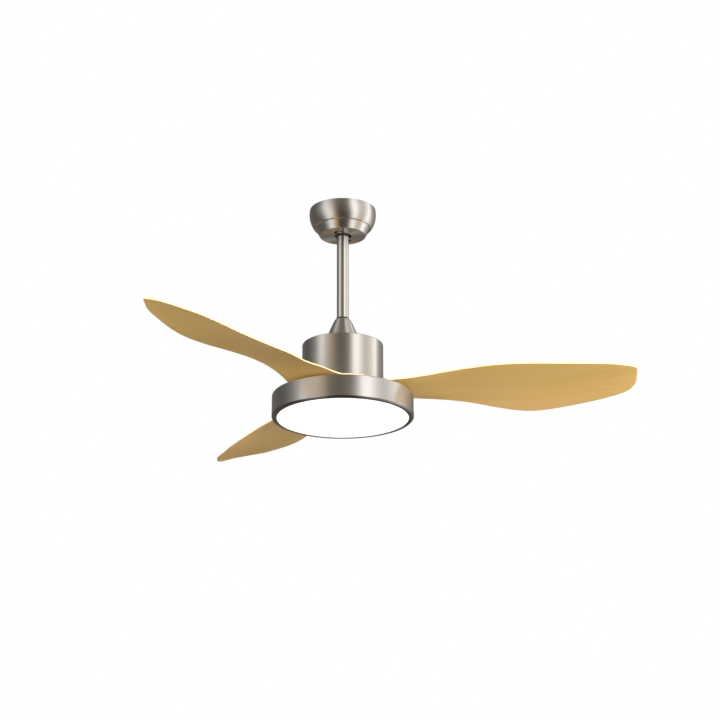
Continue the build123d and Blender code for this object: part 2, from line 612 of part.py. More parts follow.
# ---------------------------------------------------------------- motor
SHAFT_TOP = ROD_BOTTOM
SHAFT_BOTTOM = DRUM_TOP - SHAFT_BELOW
CASE_RADIUS = HOUSING_RADIUS - CASE_INSET
CASE_INNER_RADIUS = CASE_RADIUS - CASE_WALL
MAGNET_OUTER = CASE_INNER_RADIUS
MAGNET_INNER = MAGNET_OUTER - MAGNET_THICKNESS
STATOR_RADIUS = MAGNET_INNER - AIR_GAP
UPPER_BOSS_TOP = YOKE_BOTTOM - MOTOR_GAP
CASE_TOP = UPPER_BOSS_TOP - BOSS_RISE
FLANGE_RADIUS = HOUSING_RADIUS - FLANGE_INSET
FLANGE_BORE = FLANGE_RADIUS - FLANGE_WIDTH
ROOT_BORE = FLANGE_BORE - ROOT_LIP
FLANGE_TOP = ROOT_TOP + FLANGE_THICKNESS
CASE_BOTTOM = FLANGE_TOP + FLANGE_COLLAR
LOWER_BOSS_BOTTOM = CASE_BOTTOM - BOSS_RISE
MOTOR_MIDDLE = (CASE_TOP + CASE_BOTTOM) / 2
UPPER_BEARING = (UPPER_BOSS_TOP - BOSS_LIP - BEARING_WIDTH, UPPER_BOSS_TOP - BOSS_LIP)
LOWER_BEARING = (LOWER_BOSS_BOTTOM + BOSS_LIP, LOWER_BOSS_BOTTOM + BOSS_LIP + BEARING_WIDTH)
LUG_RING = CASE_RADIUS + M4_HEAD_RADIUS + 2 * FIT


def motor_housing():
    """A drawn cup, open below, whose top wall is clamped under the yoke's flange."""
    shell = turned(((YOKE_RADIUS + FIT, HOUSING_TOP), (HOUSING_RADIUS, HOUSING_TOP),
                    (HOUSING_RADIUS, HOUSING_BOTTOM), (HOUSING_RADIUS - HOUSING_WALL, HOUSING_BOTTOM),
                    (HOUSING_RADIUS - HOUSING_WALL, HOUSING_TOP - HOUSING_WALL),
                    (YOKE_RADIUS + FIT, HOUSING_TOP - HOUSING_WALL)),
                   [((HOUSING_RADIUS, HOUSING_TOP), HOUSING_ROUND),
                    ((HOUSING_RADIUS - HOUSING_WALL, HOUSING_TOP - HOUSING_WALL),
                     HOUSING_ROUND - HOUSING_WALL)])
    for place in around(HOUSING_SCREWS, HOUSING_SCREW_RING, HOUSING_SCREW_AZIMUTH):
        shell -= place * rod(M4_RADIUS + FIT, HOUSING_TOP - HOUSING_WALL, HOUSING_TOP)
    return shell


def housing_screws():
    under = HOUSING_TOP - HOUSING_WALL
    one = screw(M4_RADIUS, M4_HEAD_RADIUS, M4_HEAD_HEIGHT, under - M4_NUT_HEIGHT - SCREW_SPARE,
                HOUSING_TOP + YOKE_FLANGE_THICKNESS, head_up=True)
    return at_each(around(HOUSING_SCREWS, HOUSING_SCREW_RING, HOUSING_SCREW_AZIMUTH), one)


def housing_nuts():
    under = HOUSING_TOP - HOUSING_WALL
    one = hex_nut(M4_NUT_RADIUS, M4_RADIUS + FIT / 2, under - M4_NUT_HEIGHT, under)
    return at_each(around(HOUSING_SCREWS, HOUSING_SCREW_RING, HOUSING_SCREW_AZIMUTH), one)


def motor_shaft():
    return ring(SHAFT_BORE, SHAFT_RADIUS, SHAFT_BOTTOM, SHAFT_TOP)


def yoke_locknut():
    return hex_nut(NUT_RADIUS, SHAFT_RADIUS + FIT / 2, YOKE_BOTTOM - NUT_HEIGHT, YOKE_BOTTOM)


def stator_core():
    """The laminated stack: a hub, teeth and their wide tips."""
    plan = Circle(CORE_HUB_RADIUS)
    tip_half = 180 / SLOT_COUNT - degrees(TIP_GAP / 2 / STATOR_RADIUS)
    foot = STATOR_RADIUS - TOOTH_TIP
    reach = (foot + STATOR_RADIUS) / 2
    tooth = Pos(reach / 2, 0) * Rectangle(reach, TOOTH_WIDTH)
    tip = Circle(STATOR_RADIUS) - Circle(foot)
    wedge = make_face(Polyline((0, 0), *[(2 * STATOR_RADIUS * cos(radians(a)),
                                          2 * STATOR_RADIUS * sin(radians(a)))
                                         for a in (-tip_half, tip_half)], close=True))
    tooth += tip & wedge
    for place in around(SLOT_COUNT):
        plan += place * tooth
    plan -= Circle(SHAFT_RADIUS + FIT / 2)
    return Pos(0, 0, MOTOR_MIDDLE - STACK_HEIGHT / 2) * extrude(plan, STACK_HEIGHT)


def stator_windings():
    """One coil round each tooth."""
    start, end = CORE_HUB_RADIUS + COIL_GAP, STATOR_RADIUS - TOOTH_TIP - COIL_GAP
    half, tall = TOOTH_WIDTH / 2 + COIL_BUILD, STACK_HEIGHT / 2 + COIL_END
    coil = block((start, end), (-half, half), (-tall, tall))
    coil = fillet(coil.edges().filter_by(Axis.X), COIL_BUILD * COIL_ROUND)
    window = TOOTH_WIDTH / 2 + FIT
    coil -= block((start, end), (-window, window), (-STACK_HEIGHT / 2 - FIT, STACK_HEIGHT / 2 + FIT))
    return at_each([place * Pos(0, 0, MOTOR_MIDDLE) for place in around(SLOT_COUNT)], coil)


def rotor_cover(outer_face, boss_end, bearing, up):
    """One half of the rotor's case: wall, end plate, bearing boss and screw lugs."""
    way = 1 if up else -1
    inner_face = outer_face - way * CASE_WALL
    boss_radius = BEARING_RADIUS + BOSS_WALL
    bearing_inner = bearing[0] if up else bearing[1]
    lip = boss_end - way * BOSS_LIP
    lip_bore = BEARING_RADIUS - BOSS_LIP_WIDTH
    cover = turned(((lip_bore, boss_end), (boss_radius, boss_end), (boss_radius, outer_face),
                    (CASE_RADIUS, outer_face), (CASE_RADIUS, MOTOR_MIDDLE),
                    (CASE_INNER_RADIUS, MOTOR_MIDDLE), (CASE_INNER_RADIUS, inner_face),
                    (boss_radius, inner_face), (boss_radius, bearing_inner),
                    (BEARING_RADIUS + FIT / 2, bearing_inner), (BEARING_RADIUS + FIT / 2, lip),
                    (lip_bore, lip)),
                   [((CASE_RADIUS, outer_face), CASE_ROUND)])
    low, high = sorted((MOTOR_MIDDLE, MOTOR_MIDDLE + way * CASE_LUG_HEIGHT))
    lug = rod(CASE_LUG_RADIUS, low, high) + block((CASE_INNER_RADIUS - LUG_RING, 0),
                                                  (-CASE_LUG_RADIUS, CASE_LUG_RADIUS), (low, high))
    bore = rod(M4_RADIUS + FIT, low, high)
    inside = rod(CASE_INNER_RADIUS, low, high)
    for place in around(CASE_SCREWS, LUG_RING, CASE_SCREW_AZIMUTH):
        cover += (place * lug) - inside
    for place in around(CASE_SCREWS, LUG_RING, CASE_SCREW_AZIMUTH):
        cover -= place * bore
    if not up:
        for place in around(CASE_SCREWS, FLANGE_BORE + FLANGE_RIM / 2, 0):
            cover -= place * rod(M4_RADIUS + FIT, outer_face, inner_face)
    return cover


def rotor_cover_upper():
    return rotor_cover(CASE_TOP, UPPER_BOSS_TOP, UPPER_BEARING, up=True)


def rotor_cover_lower():
    return rotor_cover(CASE_BOTTOM, LOWER_BOSS_BOTTOM, LOWER_BEARING, up=False)


def rotor_screws():
    one = screw(M4_RADIUS, M4_HEAD_RADIUS, M4_HEAD_HEIGHT, MOTOR_MIDDLE - CASE_LUG_HEIGHT - SCREW_SPARE,
                MOTOR_MIDDLE + CASE_LUG_HEIGHT, head_up=True)
    return at_each(around(CASE_SCREWS, LUG_RING, CASE_SCREW_AZIMUTH), one)


def rotor_magnets():
    """Arc magnets glued round the inside of the case."""
    turn = MAGNET_FILL * 180 / MAGNET_COUNT
    half = MAGNET_HEIGHT / 2
    one = sector(MAGNET_INNER, MAGNET_OUTER, MOTOR_MIDDLE - half, MOTOR_MIDDLE + half,
                 -turn, turn)
    return at_each(around(MAGNET_COUNT), one)


def bearing_rings(inner, outer):
    return group([ring(inner, outer, low, high) for low, high in (UPPER_BEARING, LOWER_BEARING)])


def bearing_inner_rings():
    return bearing_rings(SHAFT_RADIUS + BEARING_FIT, SHAFT_RADIUS + RACE_THICKNESS)


def bearing_outer_rings():
    return bearing_rings(BEARING_RADIUS - RACE_THICKNESS, BEARING_RADIUS)


def bearing_balls():
    """The steel balls of both bearings, which turn with the outer rings here."""
    inside, outside = SHAFT_RADIUS + RACE_THICKNESS, BEARING_RADIUS - RACE_THICKNESS
    radius = (outside - inside) / 2 - BEARING_FIT
    middle = (inside + outside) / 2
    heights = [(low + high) / 2 for low, high in (UPPER_BEARING, LOWER_BEARING)]
    return group([place * Pos(0, 0, z) * Sphere(radius)
                  for z in heights for place in around(BALL_COUNT, middle)])


# ---------------------------------------------------------------- blades
BLADE_SCREW_SPOTS = ((FLANGE_RADIUS - MIDDLE_SCREW_INSET, 0),
                     (FLANGE_RADIUS - SIDE_SCREW_INSET, -SIDE_SCREW_ANGLE),
                     (FLANGE_RADIUS - SIDE_SCREW_INSET, SIDE_SCREW_ANGLE))


def blade_flange():
    """The turned disc under the rotor that the three blade roots are bolted to."""
    flange = ring(FLANGE_BORE, FLANGE_RADIUS, ROOT_TOP, FLANGE_TOP)
    flange += ring(FLANGE_BORE, FLANGE_BORE + FLANGE_RIM, FLANGE_TOP, CASE_BOTTOM)
    for place in around(CASE_SCREWS, FLANGE_BORE + FLANGE_RIM / 2):
        flange -= place * rod(M4_RADIUS + FIT, ROOT_TOP, CASE_BOTTOM)
        flange -= place * rod(M4_HEAD_RADIUS + FIT, ROOT_TOP, ROOT_TOP + M4_HEAD_HEIGHT + 2 * FIT)
    for spot in blade_screw_places():
        flange -= spot * rod(M5_RADIUS + FIT, ROOT_TOP, ROOT_TOP + THREAD_DEPTH)
    return flange


def flange_screws():
    low = ROOT_TOP + M4_HEAD_HEIGHT + 2 * FIT
    one = screw(M4_RADIUS, M4_HEAD_RADIUS, M4_HEAD_HEIGHT, low, CASE_BOTTOM + CASE_WALL,
                head_up=False)
    return at_each(around(CASE_SCREWS, FLANGE_BORE + FLANGE_RIM / 2), one)


def blade_turns():
    return [BLADE_AZIMUTH + 360 * i / BLADES for i in range(BLADES)]


def blade_screw_places():
    return [Rot(0, 0, turn + aside) * Pos(reach, 0, 0)
            for turn in blade_turns() for reach, aside in BLADE_SCREW_SPOTS]


def blade_section(along, lead, trail, rise, pitch, thickness):
    """One cross-section of a blade: a cambered lens with round edges, square to its reach."""
    reach = BLADE_START + along * (SWEEP_RADIUS - BLADE_START)
    lead_half = lead * BLADE_HALF_WIDTH
    width = (lead_half + trail * BLADE_HALF_WIDTH) / cos(radians(pitch))
    nose = EDGE_THICKNESS / 2
    bulge = (thickness * ROOT_THICKNESS - EDGE_THICKNESS) / 2
    crown = CAMBER * width * min(1.0, pitch / FULL_CAMBER_ANGLE)

    def spot(share, side):
        """A point at a share of the width from the leading edge, above or below the middle line."""
        across = nose + share * (width - 2 * nose)
        fat = 4 * share * (1 - share)
        return across, crown * fat + side * (nose + bulge * fat**FULLNESS)

    shares = (0.0, 0.15, 0.4, 0.7, 1.0)
    top = Spline(*[spot(s, 1) for s in shares])
    bottom = Spline(*[spot(s, -1) for s in shares])
    front = ThreePointArc(spot(0, 1), (0, 0), spot(0, -1))
    back = ThreePointArc(spot(1, 1), (width, 0), spot(1, -1))
    edge_z = (ROOT_TOP + ROOT_BOTTOM) / 2 + rise * BLADE_RISE
    edge = Plane(origin=(reach, -lead_half, edge_z), z_dir=(1, 0, 0),
                 x_dir=(0, cos(radians(pitch)), -sin(radians(pitch))))
    return edge * make_face(top + back + bottom + front)


def blade():
    """A twisted, cambered blade that grows out of a flat root, a third of a round plate."""
    wing = loft([blade_section(*section) for section in BLADE_STATIONS])
    plate = turned(((ROOT_BORE, ROOT_BOTTOM), (ROOT_RADIUS, ROOT_BOTTOM), (ROOT_RADIUS, ROOT_TOP),
                    (ROOT_BORE, ROOT_TOP)),
                   [((ROOT_RADIUS, ROOT_BOTTOM), ROOT_ROUND), ((ROOT_RADIUS, ROOT_TOP), ROOT_ROUND)])
    third = 180 / BLADES
    wedge = sector(ROOT_BORE / 2, 2 * ROOT_RADIUS, ROOT_BOTTOM, ROOT_TOP, -third, third)
    root = plate & wedge
    for side in (-1, 1):
        cut = Rot(0, 0, side * third) * block((0, 2 * ROOT_RADIUS), (-ROOT_JOINT_GAP / 2, ROOT_JOINT_GAP / 2),
                                              (ROOT_BOTTOM, ROOT_TOP))
        root -= cut
    piece = root + wing
    for reach, aside in BLADE_SCREW_SPOTS:
        piece -= Rot(0, 0, aside) * Pos(reach, 0, 0) * rod(M5_RADIUS + 2 * FIT, ROOT_BOTTOM, ROOT_TOP)
    return piece


def blade_screws():
    low = ROOT_BOTTOM - WASHER_THICKNESS
    one = screw(M5_RADIUS, M5_HEAD_RADIUS, M5_HEAD_HEIGHT, low, ROOT_TOP + THREAD_DEPTH - HOLE_SPARE,
                head_up=False)
    return at_each(blade_screw_places(), one)


def blade_washers():
    one = ring(M5_RADIUS + FIT, WASHER_RADIUS, ROOT_BOTTOM - WASHER_THICKNESS, ROOT_BOTTOM)
    return at_each(blade_screw_places(), one)


# ---------------------------------------------------------------- light
TRIM_TOP = DRUM_BOTTOM + TRIM_HEIGHT
LEDGE_TOP = TRIM_TOP - TRIM_LAP
LEDGE_BOTTOM = LEDGE_TOP - LEDGE_THICKNESS
TRIM_RADIUS = DRUM_RADIUS + TRIM_PROUD
FACE_RADIUS = TRIM_RADIUS - TRIM_WIDTH
LEDGE_RADIUS = DRUM_RADIUS - LEDGE_INSET
SKIRT_RADIUS = LEDGE_RADIUS - SKIRT_GAP
LUG_RADIUS = LEDGE_RADIUS + LUG_OVERLAP
DRUM_UNDER = DRUM_TOP - DRUM_WALL
TRAY_TOP = DRUM_UNDER - TRAY_DROP
BOARD_TOP = TRAY_TOP - TRAY_SHEET
BOARD_BOTTOM = BOARD_TOP - BOARD_THICKNESS
TRAY_RADIUS = DRUM_RADIUS - TRAY_INSET
BOARD_RADIUS = TRAY_RADIUS - BOARD_INSET
POST_RING = TRAY_RADIUS - POST_INSET


def spacer_sleeve():
    """Holds the light's plate at its distance below the lower bearing."""
    return ring(SHAFT_RADIUS + FIT / 2, SHAFT_RADIUS + SPACER_WALL, DRUM_TOP + MOUNT_PLATE_THICKNESS,
                LOWER_BEARING[0])


def light_mount_plate():
    low, high = DRUM_TOP, DRUM_TOP + MOUNT_PLATE_THICKNESS
    plate = ring(SHAFT_RADIUS + FIT / 2, MOUNT_PLATE_RADIUS, low, high)
    for place in around(DRUM_SCREWS, DRUM_SCREW_RING, DRUM_SCREW_AZIMUTH):
        plate -= place * rod(M4_RADIUS + FIT, low, high)
    return plate


def shaft_nut():
    return hex_nut(NUT_RADIUS, SHAFT_RADIUS + FIT / 2, DRUM_TOP - NUT_HEIGHT, DRUM_TOP)


def drum_shell():
    """The light's body: a drawn drum with its top wall held under the mount plate."""
    shell = turned(((DRUM_HOLE_RADIUS, DRUM_TOP), (DRUM_RADIUS, DRUM_TOP), (DRUM_RADIUS, LEDGE_TOP),
                    (DRUM_RADIUS - DRUM_WALL, LEDGE_TOP), (DRUM_RADIUS - DRUM_WALL, DRUM_UNDER),
                    (DRUM_HOLE_RADIUS, DRUM_UNDER)),
                   [((DRUM_RADIUS, DRUM_TOP), DRUM_ROUND),
                    ((DRUM_RADIUS - DRUM_WALL, DRUM_UNDER), DRUM_ROUND - DRUM_WALL)])
    for place in around(DRUM_SCREWS, DRUM_SCREW_RING, DRUM_SCREW_AZIMUTH):
        shell -= place * rod(M4_RADIUS + FIT, DRUM_UNDER, DRUM_TOP)
    return shell


def drum_screws():
    one = screw(M4_RADIUS, M4_HEAD_RADIUS, M4_HEAD_HEIGHT, DRUM_UNDER,
                DRUM_TOP + MOUNT_PLATE_THICKNESS - HOLE_SPARE, head_up=False)
    return at_each(around(DRUM_SCREWS, DRUM_SCREW_RING, DRUM_SCREW_AZIMUTH), one)


def trim_ring():
    """The bevelled ring at the drum's foot, with the notched ledge that holds the diffuser."""
    ring_body = turned(((DRUM_RADIUS + FIT / 2, TRIM_TOP), (TRIM_RADIUS, TRIM_TOP),
                        (TRIM_RADIUS, DRUM_BOTTOM + TRIM_BEVEL), (TRIM_RADIUS - TRIM_BEVEL, DRUM_BOTTOM),
                        (FACE_RADIUS, DRUM_BOTTOM), (FACE_RADIUS, LEDGE_BOTTOM),
                        (LEDGE_RADIUS, LEDGE_BOTTOM), (LEDGE_RADIUS, LEDGE_TOP),
                        (DRUM_RADIUS + FIT / 2, LEDGE_TOP)),
                       [((TRIM_RADIUS, DRUM_BOTTOM + TRIM_BEVEL), TRIM_ROUND)])
    notch = (LUG_SWEEP + NOTCH_SPARE) / 2
    for turn in lug_turns():
        ring_body -= sector(SKIRT_RADIUS, LUG_RADIUS + SKIRT_GAP, LEDGE_BOTTOM, LEDGE_TOP,
                            turn - TWIST - notch, turn - TWIST + notch)
    return ring_body


def lug_turns():
    return [LUG_AZIMUTH + 360 * i / LUG_COUNT for i in range(LUG_COUNT)]


def diffuser():
    """The opal cover: a disc, a skirt and the lugs that sit on the ring's ledge."""
    outer = FACE_RADIUS - DIFFUSER_GAP
    skirt_inner = SKIRT_RADIUS - SKIRT_THICKNESS
    disc_top = DRUM_BOTTOM + DIFFUSER_THICKNESS
    lug_low = LEDGE_TOP + SEAT_GAP
    lug_high = lug_low + LUG_HEIGHT
    skirt_top = lug_high + SKIRT_ABOVE
    cover = turned(((0, DRUM_BOTTOM), (outer, DRUM_BOTTOM), (outer, disc_top), (SKIRT_RADIUS, disc_top),
                    (SKIRT_RADIUS, skirt_top), (skirt_inner, skirt_top), (skirt_inner, disc_top),
                    (0, disc_top)), [((outer, DRUM_BOTTOM), DIFFUSER_ROUND)])
    for turn in lug_turns():
        cover += sector((skirt_inner + SKIRT_RADIUS) / 2, LUG_RADIUS, lug_low, lug_high,
                        turn - LUG_SWEEP / 2, turn + LUG_SWEEP / 2)
    return cover


def tray_posts():
    post = Pos(0, 0, TRAY_TOP) * extrude(RegularPolygon(POST_RADIUS, 6), DRUM_UNDER - TRAY_TOP)
    post -= rod(TRAY_SCREW_RADIUS + FIT, TRAY_TOP, TRAY_TOP + POST_TAP_DEPTH)
    return at_each(around(POST_COUNT, POST_RING, POST_AZIMUTH), post)


def led_tray():
    """The sheet that carries the light board and takes its heat."""
    tray = turned(((0, BOARD_TOP), (TRAY_RADIUS, BOARD_TOP), (TRAY_RADIUS, TRAY_TOP + TRAY_RIM),
                   (TRAY_RADIUS - TRAY_SHEET, TRAY_TOP + TRAY_RIM), (TRAY_RADIUS - TRAY_SHEET, TRAY_TOP),
                   (0, TRAY_TOP)), [((TRAY_RADIUS, BOARD_TOP), TRAY_ROUND)])
    for place in around(POST_COUNT, POST_RING, POST_AZIMUTH):
        tray -= place * rod(TRAY_SCREW_RADIUS + 2 * FIT, BOARD_TOP, TRAY_TOP)
    return tray


def led_board():
    board = ring(0, BOARD_RADIUS, BOARD_BOTTOM, BOARD_TOP)
    for place in around(POST_COUNT, POST_RING, POST_AZIMUTH):
        board -= place * rod(TRAY_SCREW_RADIUS + 2 * FIT, BOARD_BOTTOM, BOARD_TOP)
    return board


def led_chips():
    chip = block((-LED_SIZE / 2, LED_SIZE / 2), (-LED_SIZE / 2, LED_SIZE / 2),
                 (BOARD_BOTTOM - LED_HEIGHT, BOARD_BOTTOM))
    rings = [BOARD_RADIUS - LED_INSET - i * LED_RING_STEP for i in range(LED_RINGS)]
    return group([place * chip for radius in rings
                  for place in around(round(2 * pi * radius / LED_PITCH), radius)])


def tray_screws():
    one = screw(TRAY_SCREW_RADIUS, M4_HEAD_RADIUS, M4_HEAD_HEIGHT, BOARD_BOTTOM,
                TRAY_TOP + POST_TAP_DEPTH - HOLE_SPARE, head_up=False)
    return at_each(around(POST_COUNT, POST_RING, POST_AZIMUTH), one)


def led_driver():
    """The sealed power supply on the drum's top wall, beside the shaft."""
    width, length, height = DRIVER_SIZE
    case = block((DRIVER_X - width / 2, DRIVER_X + width / 2), (-length / 2, length / 2),
                 (DRUM_UNDER - height, DRUM_UNDER))
    return fillet(case.edges().filter_by(Axis.Z), DRIVER_ROUND)


CABLE_X = max(CROSS_PIN_RADIUS, HITCH_RADIUS) + CABLE_PIN_GAP + CABLE_RADIUS
CABLE_TOP = ROD_TOP + PLUG_PROUD - PLUG_SIZE[2]
CABLE_BOTTOM = SHAFT_BOTTOM - CABLE_BELOW


def through_cable():
    """The cable: down beside the pins in the rod, then over to the middle of the hollow shaft."""
    turn = acos(1 - CABLE_X / (2 * CABLE_BEND))
    run = CABLE_BEND * tan(turn / 2)          # from a bend's corner to its end
    high = HITCH_Z - HITCH_RADIUS - CABLE_PIN_GAP - run
    low = high - 2 * run * cos(turn)
    path = FilletPolyline((CABLE_X, CABLE_TOP), (CABLE_X, high), (0, low), (0, CABLE_BOTTOM),
                          radius=CABLE_BEND * (1 - CABLE_STRAIGHT))
    return sweep(Pos(CABLE_X, 0, CABLE_TOP) * Circle(CABLE_RADIUS), path=Plane.XZ * path)


def cable_plugs():
    """A plug on each end of the cable."""
    x, y, z = PLUG_SIZE
    top = block((CABLE_X - x / 2, CABLE_X + x / 2), (-y / 2, y / 2), (CABLE_TOP, CABLE_TOP + z))
    bottom = block((-x / 2, x / 2), (-y / 2, y / 2), (CABLE_BOTTOM - z, CABLE_BOTTOM))
    return group([top, bottom])


# ---------------------------------------------------------------- the whole fan
NODES = {
    "hanger_bracket": hanger_bracket,
    "ball_seat_pads": ball_seat_pads,
    "canopy": canopy,
    "canopy_screws": canopy_screws,
    "remote_receiver": remote_receiver,
    "terminal_block": terminal_block,
    "hanger_ball": hanger_ball,
    "cross_pin": cross_pin,
    "ball_set_screw": ball_set_screw,
    "downrod": downrod,
    "rod_gasket": rod_gasket,
    "coupling_cover": coupling_cover,
    "motor_yoke": motor_yoke,
    "yoke_set_screws": yoke_set_screws,
    "hitch_pin": hitch_pin,
    "hitch_clip": hitch_clip,
    "motor_housing": motor_housing,
    "housing_screws": housing_screws,
    "housing_nuts": housing_nuts,
    "motor_shaft": motor_shaft,
    "yoke_locknut": yoke_locknut,
    "stator_core": stator_core,
    "stator_windings": stator_windings,
    "rotor_cover_upper": rotor_cover_upper,
    "rotor_cover_lower": rotor_cover_lower,
    "rotor_screws": rotor_screws,
    "rotor_magnets": rotor_magnets,
    "bearing_inner_rings": bearing_inner_rings,
    "bearing_outer_rings": bearing_outer_rings,
    "bearing_balls": bearing_balls,
    "blade_flange": blade_flange,
    "flange_screws": flange_screws,
    "blade_screws": blade_screws,
    "blade_washers": blade_washers,
    "spacer_sleeve": spacer_sleeve,
    "light_mount_plate": light_mount_plate,
    "shaft_nut": shaft_nut,
    "drum_shell": drum_shell,
    "drum_screws": drum_screws,
    "trim_ring": trim_ring,
    "diffuser": diffuser,
    "tray_posts": tray_posts,
    "led_tray": led_tray,
    "led_board": led_board,
    "led_chips": led_chips,
    "tray_screws": tray_screws,
    "led_driver": led_driver,
    "through_cable": through_cable,
    "cable_plugs": cable_plugs,
}

os.makedirs("parts", exist_ok=True)
for name, make in NODES.items():
    export_step(make(), f"parts/{name}.step")
one_blade = blade()
for number, turn in enumerate(blade_turns(), 1):
    export_step(Rot(0, 0, turn) * one_blade, f"parts/blade_{number}.step")
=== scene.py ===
# %% [markdown]
# # A ceiling fan with a round light
# The fan's solids come from a CAD model, packed as a frame in metres with +Z up and the ceiling
# at Z = 0. This lesson dresses them: it gives each piece its finish, adds the small pieces that
# the solids leave out, and sets up a camera and soft studio light. Nothing that the CAD model
# holds is moved, because its motion and its fits depend on where it is.

# %% Load the frame
from math import atan2, cos, pi, radians, sin

import bmesh
import bpy
from mathutils import Matrix, Vector


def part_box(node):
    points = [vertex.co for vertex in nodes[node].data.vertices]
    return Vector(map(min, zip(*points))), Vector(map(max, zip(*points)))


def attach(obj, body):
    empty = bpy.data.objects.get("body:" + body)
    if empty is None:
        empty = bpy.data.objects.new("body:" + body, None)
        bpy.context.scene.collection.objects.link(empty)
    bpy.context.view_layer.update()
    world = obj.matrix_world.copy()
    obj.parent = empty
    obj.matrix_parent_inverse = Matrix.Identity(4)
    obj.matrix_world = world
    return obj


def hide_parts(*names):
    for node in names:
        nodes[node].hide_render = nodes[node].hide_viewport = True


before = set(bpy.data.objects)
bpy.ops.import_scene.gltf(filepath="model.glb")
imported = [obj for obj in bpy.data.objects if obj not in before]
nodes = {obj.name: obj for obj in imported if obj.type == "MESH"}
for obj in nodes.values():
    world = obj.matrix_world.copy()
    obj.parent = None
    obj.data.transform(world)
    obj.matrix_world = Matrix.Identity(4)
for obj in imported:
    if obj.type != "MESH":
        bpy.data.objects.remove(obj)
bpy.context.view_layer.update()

# %% [markdown]
# ## Looking at the fan
# The fan is seen from below, as a person in the room sees it. A long lens keeps the drum's
# ellipse calm, so the camera stands far away and looks up by 18 degrees. It aims at the middle of
# the blades' hub, and the lens is shifted a little instead of turning the camera, because a turn
# would tilt the downrod.

# %% Camera
HUB = Vector((0, 0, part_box("drum_shell")[1].z))
CAMERA_DISTANCE = 4.662
CAMERA_ELEVATION = radians(-18)
toward_camera = Vector((0, -cos(CAMERA_ELEVATION), sin(CAMERA_ELEVATION)))

camera_data = bpy.data.cameras.new("camera")
camera_data.lens = 105
camera_data.sensor_width = 36
camera_data.shift_x = 0.024
camera_data.shift_y = 0.0507
camera = bpy.data.objects.new("camera", camera_data)
camera.location = HUB + CAMERA_DISTANCE * toward_camera
camera.rotation_euler = (pi / 2 - CAMERA_ELEVATION, 0, 0)
bpy.context.collection.objects.link(camera)
bpy.context.scene.camera = camera
print("camera at", tuple(round(c, 3) for c in camera.location))

# %% [markdown]
# ## Shader maths as Python
# A procedural material is arithmetic on coordinates. Written as nodes it is hard to read, so one
# small class wraps an output socket and turns `a * b + c` into Math nodes. A second class builds
# a material and has one method for every other kind of node: its type, its settings, and the
# values or links of its sockets.

# %% A wrapped socket
class Signal:
    """A value that varies over a surface. Its operators add Math nodes."""

    def __init__(self, finish, socket):
        self.finish = finish
        self.socket = socket

    def maths(self, operation, *values):
        return self.finish.node("Math", {"operation": operation}, *values)

    def __add__(self, other):
        return self.maths("ADD", self, other)

    def __radd__(self, other):
        return self.maths("ADD", other, self)

    def __sub__(self, other):
        return self.maths("SUBTRACT", self, other)

    def __rsub__(self, other):
        return self.maths("SUBTRACT", other, self)

    def __mul__(self, other):
        return self.maths("MULTIPLY", self, other)

    def __rmul__(self, other):
        return self.maths("MULTIPLY", other, self)

    def __truediv__(self, other):
        return self.maths("DIVIDE", self, other)

    def __rtruediv__(self, other):
        return self.maths("DIVIDE", other, self)

    def __pow__(self, other):
        return self.maths("POWER", self, other)


